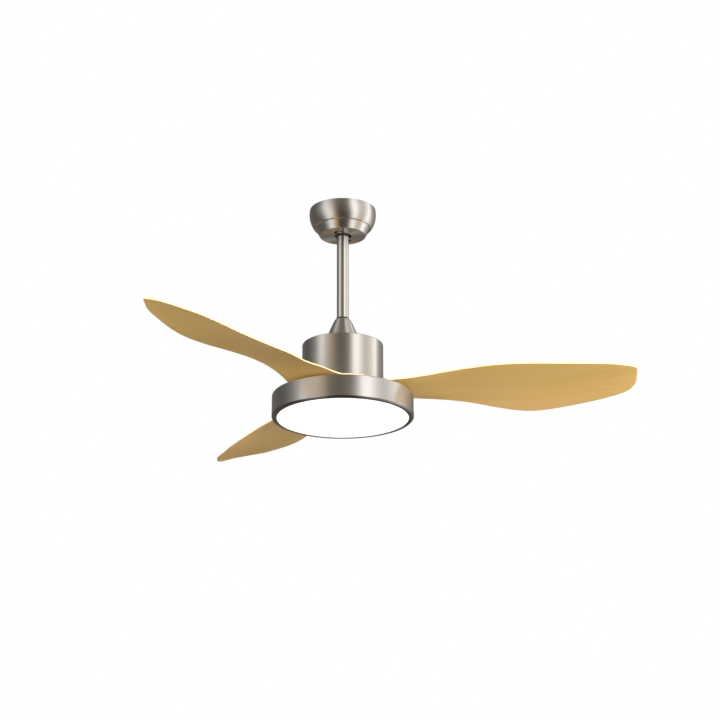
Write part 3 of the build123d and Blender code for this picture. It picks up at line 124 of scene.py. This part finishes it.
# %% A material or a world
class Finish:
    """The nodes of a material or a world under construction."""

    def __init__(self, owner):
        owner.use_nodes = True
        self.owner = owner
        self.tree = owner.node_tree
        self.tree.nodes.clear()

    def node(self, kind, settings=None, *values, output=0, **named):
        """Adds a node. Values go to its sockets in order, or by name with _ for a space."""
        node = self.tree.nodes.new("ShaderNode" + kind)
        for key, value in (settings or {}).items():
            if key == "stops":
                self.set_stops(node.color_ramp, value)
            else:
                setattr(node, key, value)
        for index, value in enumerate(values):
            self.put(node.inputs[index], value)
        for key, value in named.items():
            self.put(node.inputs[key.replace("_", " ")], value)
        return Signal(self, node.outputs[output]) if node.outputs else None

    def put(self, socket, value):
        if isinstance(value, Signal):
            self.tree.links.new(value.socket, socket)
        else:
            socket.default_value = value

    def set_stops(self, ramp, stops):
        """Sets a new ramp's stops, from left to right. It comes with two of its own."""
        for index, (place, colour) in enumerate(stops):
            element = ramp.elements[index] if index < 2 else ramp.elements.new(place)
            element.position = place
            element.color = (*colour, 1)

    def place(self, turn=0.0):
        """The point's x, y and z on the object, turned back about Z by an angle."""
        point = self.node("TexCoord", output="Object")
        if turn:
            point = self.node("Mapping", None, point, Rotation=(0, 0, -turn))
        return self.axes(point)

    def facing_up(self):
        """How far the surface looks up: 1 straight up, 0 level, -1 straight down."""
        return self.axes(self.node("TexCoord", output="Normal"))[2]

    def axes(self, vector):
        """The x, y and z of a vector."""
        split = self.node("SeparateXYZ", None, vector).socket.node
        return [Signal(self, split.outputs[axis]) for axis in "XYZ"]

    def vector(self, x, y, z):
        return self.node("CombineXYZ", None, x, y, z)

    def noise(self, vector, scale=1.0, detail=2.0, roughness=0.5):
        return self.node("TexNoise", None, vector, Scale=scale, Detail=detail, Roughness=roughness,
                         output="Fac")

    def spread(self, value, low, high, to_low=0.0, to_high=1.0):
        """Moves a value from one range to another and keeps it inside."""
        return self.node("MapRange", {"clamp": True}, value, low, high, to_low, to_high)

    def stretch(self, noise, to_low=0.0, to_high=1.0):
        """Stretches a noise, which seldom leaves 0.3 to 0.7, over a whole range."""
        return self.spread(noise, 0.3, 0.7, to_low, to_high)

    def colours(self, factor, *stops):
        return self.node("ValToRGB", {"stops": stops}, factor)

    def mix(self, factor, one, other):
        """Mixes two colours. The Mix node keeps its colour sockets behind those for numbers."""
        node = self.tree.nodes.new("ShaderNodeMix")
        node.data_type = "RGBA"
        self.put(node.inputs["Factor"], factor)
        for index, colour in ((6, one), (7, other)):
            self.put(node.inputs[index], colour if isinstance(colour, Signal) else (*colour, 1))
        return Signal(self, node.outputs[2])

    def bump(self, height, strength, distance):
        return self.node("Bump", None, Height=height, Strength=strength, Distance=distance)

    def skin(self, **sockets):
        """Ends a material with a Principled shader and returns it."""
        self.node("OutputMaterial", None, Surface=self.node("BsdfPrincipled", None, **sockets))
        return self.owner


# %% Dressing a CAD node
def wear(material, *names):
    """Gives CAD nodes a finish in place of the one they came with."""
    for name in names:
        for slot in nodes[name].material_slots:
            slot.material = material
    print(material.name, "on", ", ".join(names))


# %% [markdown]
# ## Brushed nickel
# The canopy, rod, cone, motor housing and light drum are spun or drawn steel, plated with nickel
# and brushed while they turn on a lathe. The brush leaves fine lines that run round the axis. They
# scatter a reflection up and down but keep it sharp round the axis, which gives the upright light
# and dark bands that make the metal look brushed. Lines wide enough to see would look like a
# file's, so two things share the work: the Principled shader's anisotropy stretches the
# reflection, and a fine noise that changes fast along the profile and slowly round it gives the
# lines themselves. The profile's height plus a share of its radius serves walls, cones and floors.
# The trim ring round the light is the same brushed nickel with painted shade: its colour is darker
# where the surface's normal points down, which stands in for the dark reflection on its lower face.

# %% Brushed nickel
PROFILE_LEAN = 0.6          # how much of the radius counts as height
LINES_ROUND = 5             # changes per metre round the axis: few, so that a line runs far
MARKS_ROUND = 11            # the same for the faint marks of handling
MARKS_ALONG = 4
LINE_RELIEF = 0.00002
TINT_SWING = 0.04
ROUGHNESS_SWING = 0.02
UNDERSIDE_SLOPE = (0.3, 0.6)  # facing down this far begins and completes the underside's colour


def brushed_nickel(name, tint, roughness, line_pitch, underside=None):
    finish = Finish(bpy.data.materials.new(name))
    x, y, z = finish.place()
    radius = (x * x + y * y) ** 0.5
    profile = z + radius * PROFILE_LEAN
    lines = finish.noise(finish.vector(x * LINES_ROUND, y * LINES_ROUND, profile / line_pitch))
    marks = finish.noise(finish.vector(x * MARKS_ROUND, y * MARKS_ROUND, z * MARKS_ALONG))
    dark = tuple(part * (1 - TINT_SWING) for part in tint)
    light = tuple(part * (1 + TINT_SWING) for part in tint)
    colour = finish.mix(lines * 0.5 + marks * 0.5, dark, light)
    # Painted shade: where the surface looks down, the colour darkens towards the given grey.
    if underside:
        looks_down = finish.spread(0 - finish.facing_up(), *UNDERSIDE_SLOPE)
        colour = finish.mix(looks_down, colour, underside)
    return finish.skin(
        Base_Color=colour,
        Metallic=1.0,
        Roughness=finish.stretch(marks, roughness - ROUGHNESS_SWING,
                                roughness + ROUGHNESS_SWING),
        Anisotropic=1.0,
        Anisotropic_Rotation=0.25,
        Normal=finish.bump(lines, 0.3, LINE_RELIEF),
    )


# %% Nickel on the sheet metal and the rod
NICKEL = (0.66, 0.635, 0.60)
PAINTED_SHADE_GREY = (0.30, 0.285, 0.27)
POLISHED_NICKEL = (0.72, 0.70, 0.66)

nickel_sheet = brushed_nickel("brushed_nickel", NICKEL, 0.31, 0.0008)
nickel_trim = brushed_nickel("brushed_nickel_trim", NICKEL, 0.31, 0.0008, PAINTED_SHADE_GREY)
nickel_rod = brushed_nickel("brushed_nickel_rod", POLISHED_NICKEL, 0.34, 0.0006)
wear(nickel_sheet, "canopy", "coupling_cover", "motor_housing", "drum_shell")
wear(nickel_trim, "trim_ring")
wear(nickel_rod, "downrod")

# %% [markdown]
# ## Wood-look blades
# The blades are moulded plastic with a printed oak grain: warm gold, with long pale and brown
# streaks that run from root to tip and a satin coat. The three blades share one print, so each
# gets the same pattern turned to its own direction. Object coordinates turned back by the blade's
# azimuth give the length along the blade and the distance across it, and noise stretched along
# the length draws the streaks. A slow second noise bends them, as real grain bends, and a third
# lets the gold drift towards tan. The narrow edge faces, whose normals are nearly level, get a
# painted highlight: their colour turns pale cream, which stands in for the light they catch.

# %% Blade directions
def blade_azimuth(name):
    """The direction in which a blade points, from where its farthest corner is."""
    far = max(nodes[name].data.vertices, key=lambda v: v.co.x**2 + v.co.y**2)
    return atan2(far.co.y, far.co.x)


BLADES = ("blade_1", "blade_2", "blade_3")
azimuths = {name: blade_azimuth(name) for name in BLADES}
print({name: round(turn / pi * 180, 1) for name, turn in azimuths.items()})


# %% Wood print
GOLD_GRAIN = (
    (0.0, (0.52, 0.333, 0.098)),
    (0.5, (0.575, 0.380, 0.118)),
    (1.0, (0.63, 0.427, 0.145)),
)
TAN = (0.62, 0.385, 0.175)
MOST_TAN = 0.55
PAINTED_EDGE_HIGHLIGHT = (0.95, 0.80, 0.49)
GRAIN_SWAY = 0.03           # how far the slow noise moves the streaks sideways
GRAIN_RELIEF = 0.00006
EDGE_HIGHLIGHT_SLOPE = (0.5, 0.8)     # facing up or down less than this is an edge, and more a side


def wood_print(name, turn):
    finish = Finish(bpy.data.materials.new(name))
    along, across, up = finish.place(turn)
    sway = finish.noise(finish.vector(along * 2.2, across * 5, up * 3), detail=1)
    lane = across + sway * GRAIN_SWAY
    streaks = finish.noise(finish.vector(along * 2.0, lane * 120, up * 20), detail=3)
    bands = finish.noise(finish.vector(along * 0.9, lane * 13, up * 6), detail=2)
    pores = finish.noise(finish.vector(along * 22, lane * 700, up * 60), detail=2)
    grain = finish.stretch(streaks * 0.4 + bands * 0.5 + pores * 0.1)
    gold = finish.colours(grain, *GOLD_GRAIN)
    drift = finish.noise(finish.vector(along * 3.5, lane * 22, up * 6), detail=1)
    film = finish.mix(finish.spread(drift, 0.40, 0.72, 0.0, MOST_TAN), gold, TAN)
    # Painted highlight: faces that look nearly level, the blades' edges, turn pale cream.
    slope = finish.facing_up()
    edge = finish.spread(slope.maths("ABSOLUTE", slope), *EDGE_HIGHLIGHT_SLOPE, 1.0, 0.0)
    return finish.skin(
        Base_Color=finish.mix(edge, film, PAINTED_EDGE_HIGHLIGHT),
        Roughness=finish.stretch(pores, 0.38, 0.46),
        Normal=finish.bump(streaks * 0.6 + pores * 0.4, 0.2, GRAIN_RELIEF),
    )


for name in BLADES:
    wear(wood_print("wood_print_" + name[-1], azimuths[name]), name)

# %% [markdown]
# ## The lit diffuser
# The cover is opal acrylic over rings of white diodes. It glows evenly, a touch warmer and dimmer
# towards its rim, where less light reaches it. A band under 3 mm wide along the rim is painted
# shade: its colour is a dark grey and it gives no glow, as if the ring's shoulder shaded it, so it
# looks like a dark line round the glow. A Principled shader with emission gives all three, because
# each depends on the distance from the axis alone.

# %% Opal acrylic
COVER_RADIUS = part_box("diffuser")[1].x
PAINTED_SHADE_WIDTH = 0.0028
PAINTED_SHADE_BLUR = 0.0003
GLOW_FADES_FROM = 0.120
GLOW_FADES_TO = 0.147
GLOW = 0.62
MIDDLE_GLOW = (1.0, 0.99, 0.97)
RIM_GLOW = (0.97, 0.95, 0.92)
NO_GLOW = (0.0, 0.0, 0.0)
PAINTED_SHADE_RIM = (0.085, 0.08, 0.075)


def opal_acrylic():
    finish = Finish(bpy.data.materials.new("opal_acrylic"))
    x, y, z = finish.place()
    radius = (x * x + y * y) ** 0.5
    fade = finish.spread(radius, GLOW_FADES_FROM, GLOW_FADES_TO)
    lit_radius = COVER_RADIUS - PAINTED_SHADE_WIDTH
    # Painted shade: a band along the rim, dark grey and with its glow cut.
    painted_shade_band = finish.spread(radius, lit_radius - PAINTED_SHADE_BLUR, lit_radius)
    cloud = finish.noise(finish.vector(x * 30, y * 30, z * 30), detail=1)
    opal = finish.mix(cloud, (0.90, 0.90, 0.89), (0.94, 0.94, 0.93))
    glow = finish.mix(fade, MIDDLE_GLOW, RIM_GLOW)
    return finish.skin(
        Base_Color=finish.mix(painted_shade_band, opal, PAINTED_SHADE_RIM),
        Roughness=finish.stretch(cloud, 0.38, 0.44),
        Emission_Color=finish.mix(painted_shade_band, glow, NO_GLOW),
        Emission_Strength=GLOW,
    )


wear(opal_acrylic(), "diffuser")

# %% [markdown]
# ## The pieces inside
# Above the ceiling line and behind the covers sit plainer materials: black powder coat on the
# bracket, zinc on screws and plates, grey cast aluminium round the motor, copper, rubber, nylon
# and white plastic. Each one is a colour with the mottling, scratches or grit that the real finish
# has, so one function makes them all from two colours, a grain size, a bump and a roughness.

# %% A plain finish
FINE_RELIEF = 0.00005
PATCHES = 12                # a patch is this many grains wide
GLOSS_SWING = 0.06


def plain(name, dark, light, grain, roughness, bump=0.2, metallic=0.0, **more):
    """A mottled finish with a grain count per metre. More sockets may be given by name."""
    finish = Finish(bpy.data.materials.new(name))
    x, y, z = finish.place()
    fine = finish.noise(finish.vector(x, y, z), scale=grain, detail=3, roughness=0.6)
    broad = finish.noise(finish.vector(x, y, z), scale=grain / PATCHES)
    mottle = fine * 0.5 + broad * 0.5
    return finish.skin(
        Base_Color=finish.mix(finish.stretch(mottle), dark, light),
        Metallic=metallic,
        Roughness=finish.stretch(mottle, roughness - GLOSS_SWING, roughness + GLOSS_SWING),
        Normal=finish.bump(fine, bump, FINE_RELIEF),
        **more,
    )


# %% Metals, plastics and rubber
powder_black = plain("powder_black", (0.012, 0.012, 0.013), (0.03, 0.03, 0.032), 900, 0.45, 0.5)
zinc = plain("zinc_plate", (0.50, 0.51, 0.52), (0.68, 0.69, 0.70), 260, 0.34, 0.2, metallic=1.0)
bright_steel = plain("bright_steel", (0.55, 0.55, 0.56), (0.66, 0.66, 0.67), 400, 0.2, metallic=1.0)
core_steel = plain("core_steel", (0.18, 0.18, 0.19), (0.30, 0.30, 0.31), 500, 0.5, metallic=1.0)
cast_alloy = plain("cast_aluminium", (0.36, 0.37, 0.38), (0.5, 0.51, 0.52), 700, 0.52, 0.6,
                   metallic=1.0)
copper = plain("copper_wire", (0.55, 0.22, 0.10), (0.78, 0.36, 0.18), 1500, 0.35, 0.8, metallic=1.0)
magnet = plain("magnet", (0.05, 0.05, 0.055), (0.10, 0.10, 0.11), 600, 0.4, metallic=1.0)
nylon = plain("black_nylon", (0.014, 0.014, 0.014), (0.03, 0.03, 0.03), 800, 0.42)
rubber = plain("black_rubber", (0.010, 0.010, 0.010), (0.022, 0.022, 0.022), 900, 0.68, 0.5)
white_plastic = plain("white_plastic", (0.70, 0.70, 0.68), (0.78, 0.78, 0.76), 500, 0.42)
white_board = plain("white_board", (0.76, 0.77, 0.76), (0.86, 0.87, 0.86), 900, 0.5)
phosphor = plain("led_phosphor", (0.80, 0.62, 0.10), (0.88, 0.72, 0.18), 1200, 0.4)

# %% Dressing the inner pieces
wear(powder_black, "hanger_bracket")
wear(nylon, "ball_seat_pads", "hanger_ball", "cable_plugs")
wear(rubber, "rod_gasket", "through_cable")
wear(white_plastic, "remote_receiver", "terminal_block", "led_driver")
wear(zinc, "motor_yoke", "housing_nuts", "yoke_locknut", "spacer_sleeve", "light_mount_plate",
     "shaft_nut", "tray_posts", "led_tray", "blade_washers", "cross_pin", "hitch_pin", "hitch_clip")
wear(bright_steel, "ball_set_screw", "yoke_set_screws", "housing_screws",
     "rotor_screws", "flange_screws", "blade_screws", "drum_screws", "tray_screws", "motor_shaft",
     "bearing_inner_rings", "bearing_outer_rings", "bearing_balls")
wear(core_steel, "stator_core")
wear(copper, "stator_windings")
wear(magnet, "rotor_magnets")
wear(cast_alloy, "rotor_cover_upper", "rotor_cover_lower", "blade_flange")
wear(white_board, "led_board")
wear(phosphor, "led_chips")

# %% [markdown]
# ## The rod's sleeve
# Where the rod leaves the canopy, a black rubber sleeve keeps it from ringing against the hole's
# edge. Its black is also, in part, painted shade: it stands in for the shade inside the canopy,
# which a ceiling would keep dark, where the rod is seen through the hole. It is a thin tube with
# rounded ends, so its profile is drawn once as a closed loop of a few points and spun round the
# axis. The spin meets itself and is merged, and the edges are rounded with a bevel afterwards,
# because a bevel on the finished ring needs no extra points. The wall is under 1 mm, which leaves
# the rod free to swing to its limits in the canopy's hole. The same function makes the thin lip
# with which the gasket at the rod's foot wipes the rod.

# %% From a bmesh to a piece
SAME_POINT = 1e-6
SHARP_ANGLE = radians(35)


def finished(name, form, material, body):
    """Turns a bmesh into a smooth piece that rides on a body."""
    bmesh.ops.remove_doubles(form, verts=form.verts, dist=SAME_POINT)
    bmesh.ops.recalc_face_normals(form, faces=form.faces)
    mesh = bpy.data.meshes.new(name)
    form.to_mesh(mesh)
    form.free()
    mesh.materials.append(material)
    mesh.shade_smooth()
    mesh.set_sharp_from_angle(angle=SHARP_ANGLE)
    piece = bpy.data.objects.new(name, mesh)
    bpy.context.collection.objects.link(piece)
    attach(piece, body)
    print(name, "with", len(mesh.polygons), "faces on", body)
    return piece


# %% Spun rings
SPIN_STEPS = 64
ROUNDED_ANGLE = radians(40)
ROUNDING_STEPS = 3


def spun_ring(profile, rounding):
    """A ring from a closed profile of (radius, height) points, with its edges rounded."""
    form = bmesh.new()
    corners = [form.verts.new((radius, 0, height)) for radius, height in profile]
    sides = [form.edges.new((corners[i - 1], corners[i])) for i in range(len(corners))]
    bmesh.ops.spin(form, geom=corners + sides, cent=(0, 0, 0), axis=(0, 0, 1), angle=2 * pi,
                   steps=SPIN_STEPS, use_merge=True)
    bmesh.ops.recalc_face_normals(form, faces=form.faces)
    corner_rings = [e for e in form.edges if e.calc_face_angle() > ROUNDED_ANGLE]
    bmesh.ops.bevel(form, geom=corner_rings, offset=rounding, segments=ROUNDING_STEPS,
                    affect="EDGES", profile=0.5, material=-1)
    return form


# %% Rod sleeve
ROD_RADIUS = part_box("downrod")[1].x
CANOPY_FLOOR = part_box("canopy")[0].z
SLEEVE_GAP = 0.0001
SLEEVE_WALL = 0.0009
SLEEVE_ABOVE = 0.0050
SLEEVE_BELOW = 0.0030
SLEEVE_ROUNDING = 0.0003

sleeve_inner = ROD_RADIUS + SLEEVE_GAP
sleeve_outer = sleeve_inner + SLEEVE_WALL
sleeve_low, sleeve_high = CANOPY_FLOOR - SLEEVE_BELOW, CANOPY_FLOOR + SLEEVE_ABOVE
sleeve_outline = [(sleeve_inner, sleeve_low), (sleeve_outer, sleeve_low),
                  (sleeve_outer, sleeve_high), (sleeve_inner, sleeve_high)]
sleeve = spun_ring(sleeve_outline, SLEEVE_ROUNDING)
# The sleeve's black is in part painted shade for the dark inside of the canopy.
finished("rod_sleeve", sleeve, rubber, "hanging_fan")

# %% Lip of the rod's gasket
LIP_HEIGHT = 0.0022
LIP_FOOT = 0.0015           # wall at the foot, which narrows to the top
LIP_TOP = 0.0007
LIP_ROUNDING = 0.0002

lip_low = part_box("rod_gasket")[1].z
lip_high = lip_low + LIP_HEIGHT
lip_outline = [(sleeve_inner, lip_low), (sleeve_inner + LIP_FOOT, lip_low),
               (sleeve_inner + LIP_TOP, lip_high), (sleeve_inner, lip_high)]
lip = spun_ring(lip_outline, LIP_ROUNDING)
finished("gasket_lip", lip, rubber, "hanging_fan")

# %% [markdown]
# ## The canopy's screws
# Two pan-head screws hold the canopy's floor up to the bracket. The CAD model has them plain. A
# head seen from below shows its cross recess, so these pieces take the screws' place. Each starts
# as two cylinders. The head's outer edge is bevelled into a dome, then planes cut its face along
# the sides of a cross, and the cells inside the cross are pushed in.

# %% A pan head
HEAD_RADIUS = 0.0036
HEAD_HEIGHT = 0.0022
HEAD_SIDES = 32
DOME_SHARE = 0.45           # of the head's height, taken by its rounded edge
DOME_STEPS = 4
ON_THE_FACE = 1e-7


def cylinder(form, radius, low, high, sides):
    bmesh.ops.create_cone(form, cap_ends=True, segments=sides, radius1=radius, radius2=radius,
                          depth=high - low, matrix=Matrix.Translation((0, 0, (low + high) / 2)))


def at_height(part, height):
    """Whether all the corners of an edge or a face lie at a height."""
    return all(abs(corner.co.z - height) < ON_THE_FACE for corner in part.verts)


def pan_head(form, low):
    """A head whose face looks down at a height."""
    cylinder(form, HEAD_RADIUS, low, low + HEAD_HEIGHT, HEAD_SIDES)
    rim = [edge for edge in form.edges if at_height(edge, low)]
    bmesh.ops.bevel(form, geom=rim, offset=HEAD_HEIGHT * DOME_SHARE, segments=DOME_STEPS,
                    affect="EDGES", profile=0.5, material=-1)


# %% Its cross recess
RECESS_REACH = 0.0019
RECESS_HALF = 0.00042
RECESS_DEPTH = 0.0013
RECESS_TAPER = 0.8


def cross_recess(form, low):
    """Cuts the face at a height along a cross and pushes the cross in."""
    for axis in ((1, 0, 0), (0, 1, 0)):
        for reach in (-RECESS_REACH, -RECESS_HALF, RECESS_HALF, RECESS_REACH):
            face = [f for f in form.faces if at_height(f, low)]
            around = {e for f in face for e in f.edges} | {v for f in face for v in f.verts}
            bmesh.ops.bisect_plane(form, geom=face + list(around), plane_no=axis,
                                   plane_co=Vector(axis) * reach)
    cross = []
    for face in form.faces:
        x, y, z = face.calc_center_median()
        narrow, wide = sorted((abs(x), abs(y)))
        if at_height(face, low) and narrow < RECESS_HALF and wide < RECESS_REACH:
            cross.append(face)
    pushed = bmesh.ops.extrude_face_region(form, geom=cross)["geom"]
    recess_floor = [part for part in pushed if isinstance(part, bmesh.types.BMVert)]
    bmesh.ops.translate(form, verts=recess_floor, vec=(0, 0, RECESS_DEPTH))
    bmesh.ops.scale(form, verts=recess_floor, vec=(RECESS_TAPER, RECESS_TAPER, 1))
    bmesh.ops.delete(form, geom=cross, context="FACES")


# %% Both screws
SHANK_RADIUS = 0.0020
SHANK_SIDES = 20
SHANK_IN_HEAD = 0.0003

black_oxide = plain("black_oxide", (0.02, 0.02, 0.02), (0.05, 0.05, 0.05), 700, 0.32, metallic=1.0)
screw_low, screw_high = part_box("canopy_screws")
screw_place = Vector((screw_high.x - HEAD_RADIUS, screw_high.y - HEAD_RADIUS, 0))
screws = bmesh.new()
for side in (1, -1):
    one = bmesh.new()
    pan_head(one, screw_low.z)
    cross_recess(one, screw_low.z)
    shank_low = screw_low.z + HEAD_HEIGHT - SHANK_IN_HEAD
    cylinder(one, SHANK_RADIUS, shank_low, screw_high.z, SHANK_SIDES)
    bmesh.ops.translate(one, verts=one.verts, vec=screw_place * side)
    half = bpy.data.meshes.new("half")
    one.to_mesh(half)
    one.free()
    screws.from_mesh(half)
    bpy.data.meshes.remove(half)
canopy_screws = finished("canopy_screws_crossed", screws, black_oxide, "ceiling_mount")
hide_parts("canopy_screws")

# %% [markdown]
# ## Room and light
# Brushed metal shows the room more than itself. A plain white room would make the cylinders flat,
# so the world round the fan has soft upright panels: bright ones on both sides of the camera, a
# dark gap behind it, and dark flags at the far sides, which draw the dark edges of every cylinder.
# The upright walls mirror a band above the fan's height, and the canopy's bowl and the cone's slope
# mirror bands lower down and higher up, so the panels are set for three heights and blended. The
# camera itself sees plain white behind the fan.
#
# The wood takes its light from lamps, since it is too rough to mirror the panels. A broad lamp
# overhead picks out the blades' upper edges. Five lamps that stand lower than the blades light
# their undersides, most of it from the front right, so that each blade, which tilts its own way,
# gets its own brightness. Lamps and floor stay out of the reflections, where each would add a spot
# of its own. The pale floor lies far below, so that a camera looking up steeply still stands above
# it. It glows a little, which hides where it ends.

# %% The panels
NEUTRAL, WARM, BROWN = (1.0, 0.985, 0.96), (1.0, 0.91, 0.80), (1.0, 0.78, 0.52)

# Each stop is the degrees round from behind the camera, positive to its right, then the
# brightness there and its tint.
LEVEL_PANELS = (
    (-180, 0.14, WARM), (-154, 0.18, NEUTRAL), (-128, 0.14, NEUTRAL), (-116, 0.14, NEUTRAL),
    (-100, 0.24, NEUTRAL), (-87, 0.42, NEUTRAL), (-77, 0.72, NEUTRAL), (-68, 1.15, NEUTRAL),
    (-60, 1.25, NEUTRAL), (-50, 0.90, NEUTRAL), (-41, 0.58, NEUTRAL), (-32, 0.42, WARM),
    (-20, 0.27, WARM), (-4, 0.21, WARM), (6, 0.28, WARM), (15, 0.42, WARM),
    (24, 0.95, NEUTRAL), (32, 2.05, NEUTRAL), (43, 1.95, NEUTRAL), (52, 1.30, NEUTRAL),
    (61, 0.94, NEUTRAL), (71, 0.88, NEUTRAL), (84, 0.95, NEUTRAL), (95, 1.45, NEUTRAL),
    (105, 2.1, NEUTRAL), (114, 0.85, NEUTRAL), (122, 0.36, NEUTRAL), (139, 0.30, NEUTRAL),
    (180, 0.14, WARM),
)
LOW_PANELS = (
    (-180, 0.17, WARM), (-140, 0.16, WARM), (-112, 0.09, WARM), (-86, 0.09, WARM),
    (-72, 0.50, NEUTRAL), (-60, 1.40, NEUTRAL), (-40, 1.70, NEUTRAL), (-31, 0.70, WARM),
    (-22, 0.12, BROWN), (-10, 0.04, BROWN), (22, 0.03, BROWN), (31, 0.20, WARM),
    (40, 1.20, NEUTRAL), (52, 1.90, NEUTRAL), (66, 0.85, WARM), (88, 0.85, WARM),
    (108, 1.70, NEUTRAL), (128, 1.30, NEUTRAL), (150, 0.36, WARM), (180, 0.17, WARM),
)
HIGH_PANELS = (
    (-180, 0.22, WARM), (-90, 0.30, WARM), (-20, 0.25, WARM), (30, 0.27, WARM),
    (60, 0.45, NEUTRAL), (120, 0.5, NEUTRAL), (150, 0.26, WARM), (180, 0.22, WARM),
)
print(len(LEVEL_PANELS) + len(LOW_PANELS) + len(HIGH_PANELS), "stops at three heights")


# %% World
UNDER_TO_LOW = (-0.86, -0.70)  # where one ring of panels fades into the next, as the z of
LOW_TO_LEVEL = (-0.22, 0.02)   # the direction: -1 is straight down and 1 straight up
LEVEL_TO_HIGH = (0.62, 0.80)
UNDER_THE_FAN = (0.10, 0.09, 0.075)
SEEN_BEHIND = (1.0, 1.0, 1.0)


def panel_ramp(room, turn, panels):
    """The colour of a ring of panels, from how far round it is, as a share of the circle."""
    stops = []
    for degrees, brightness, tint in panels:
        stops.append((degrees / 360 + 0.5, tuple(brightness * part for part in tint)))
    return room.colours(turn, *stops)


def room_light():
    world = bpy.data.worlds.new("studio")
    bpy.context.scene.world = world
    room = Finish(world)
    x, y, z = room.axes(room.node("TexCoord", output="Generated"))
    turn = x.maths("ARCTAN2", x, 0 - y) / (2 * pi) + 0.5
    level = panel_ramp(room, turn, LEVEL_PANELS)
    low = panel_ramp(room, turn, LOW_PANELS)
    high = panel_ramp(room, turn, HIGH_PANELS)
    walls = room.mix(room.spread(z, *LOW_TO_LEVEL), low, level)
    around = room.mix(room.spread(z, *LEVEL_TO_HIGH), walls, high)
    around = room.mix(room.spread(z, *UNDER_TO_LOW), UNDER_THE_FAN, around)
    camera_sees = room.node("LightPath", output="Is Camera Ray")
    shown = room.mix(camera_sees, around, SEEN_BEHIND)
    room.node("OutputWorld", None, Surface=room.node("Background", None, shown, 1.0))
    print(world.name, "with", len(room.tree.nodes), "nodes")


room_light()
bpy.context.scene.view_settings.view_transform = "Standard"


# %% Floor
FLOOR_HEIGHT = -5.2
FLOOR_REACH = 40.0
FLOOR_GLOW = 0.55


def pale_floor():
    sheet = bmesh.new()
    bmesh.ops.create_grid(sheet, x_segments=1, y_segments=1, size=FLOOR_REACH,
                          matrix=Matrix.Translation((0, 0, FLOOR_HEIGHT)))
    mesh = bpy.data.meshes.new("floor")
    sheet.to_mesh(mesh)
    sheet.free()
    mesh.materials.append(plain("pale_floor", (0.80, 0.79, 0.77), (0.84, 0.83, 0.81), 3, 0.7,
                                Emission_Color=(1.0, 0.99, 0.97, 1.0),
                                Emission_Strength=FLOOR_GLOW))
    floor = bpy.data.objects.new("floor", mesh)
    bpy.context.collection.objects.link(floor)
    floor.visible_glossy = False
    floor.visible_diffuse = False
    print("floor at", FLOOR_HEIGHT)


pale_floor()


# %% Lamps
def soft_lamp(name, place, size, watts, colour):
    """A round lamp that points at the hub and isn't mirrored."""
    data = bpy.data.lights.new(name, "AREA")
    data.shape = "DISK"
    data.size = size
    data.energy = watts
    data.color = colour
    lamp = bpy.data.objects.new(name, data)
    lamp.location = place
    lamp.rotation_euler = (HUB - Vector(place)).to_track_quat("-Z", "Y").to_euler()
    lamp.visible_glossy = False
    bpy.context.collection.objects.link(lamp)
    print(name, "of", watts, "W")


soft_lamp("overhead", (0.8, 1.0, 4.0), 4.0, 260, (1, 0.98, 0.92))
soft_lamp("front_key", (1.8, -2.6, -1.2), 1.0, 86, (1, 0.96, 0.90))
soft_lamp("front_fill", (0.2, -3.6, -1.0), 1.0, 60, (1, 0.97, 0.90))
soft_lamp("left_fill", (-1.8, -2.6, -1.2), 1.0, 14, (1, 0.96, 0.92))
soft_lamp("side_fill", (-2.2, -0.4, -1.2), 1.0, 26, (0.97, 0.96, 0.98))
soft_lamp("back_fill", (0.3, 2.6, -1.2), 1.0, 24, (1, 0.95, 0.86))
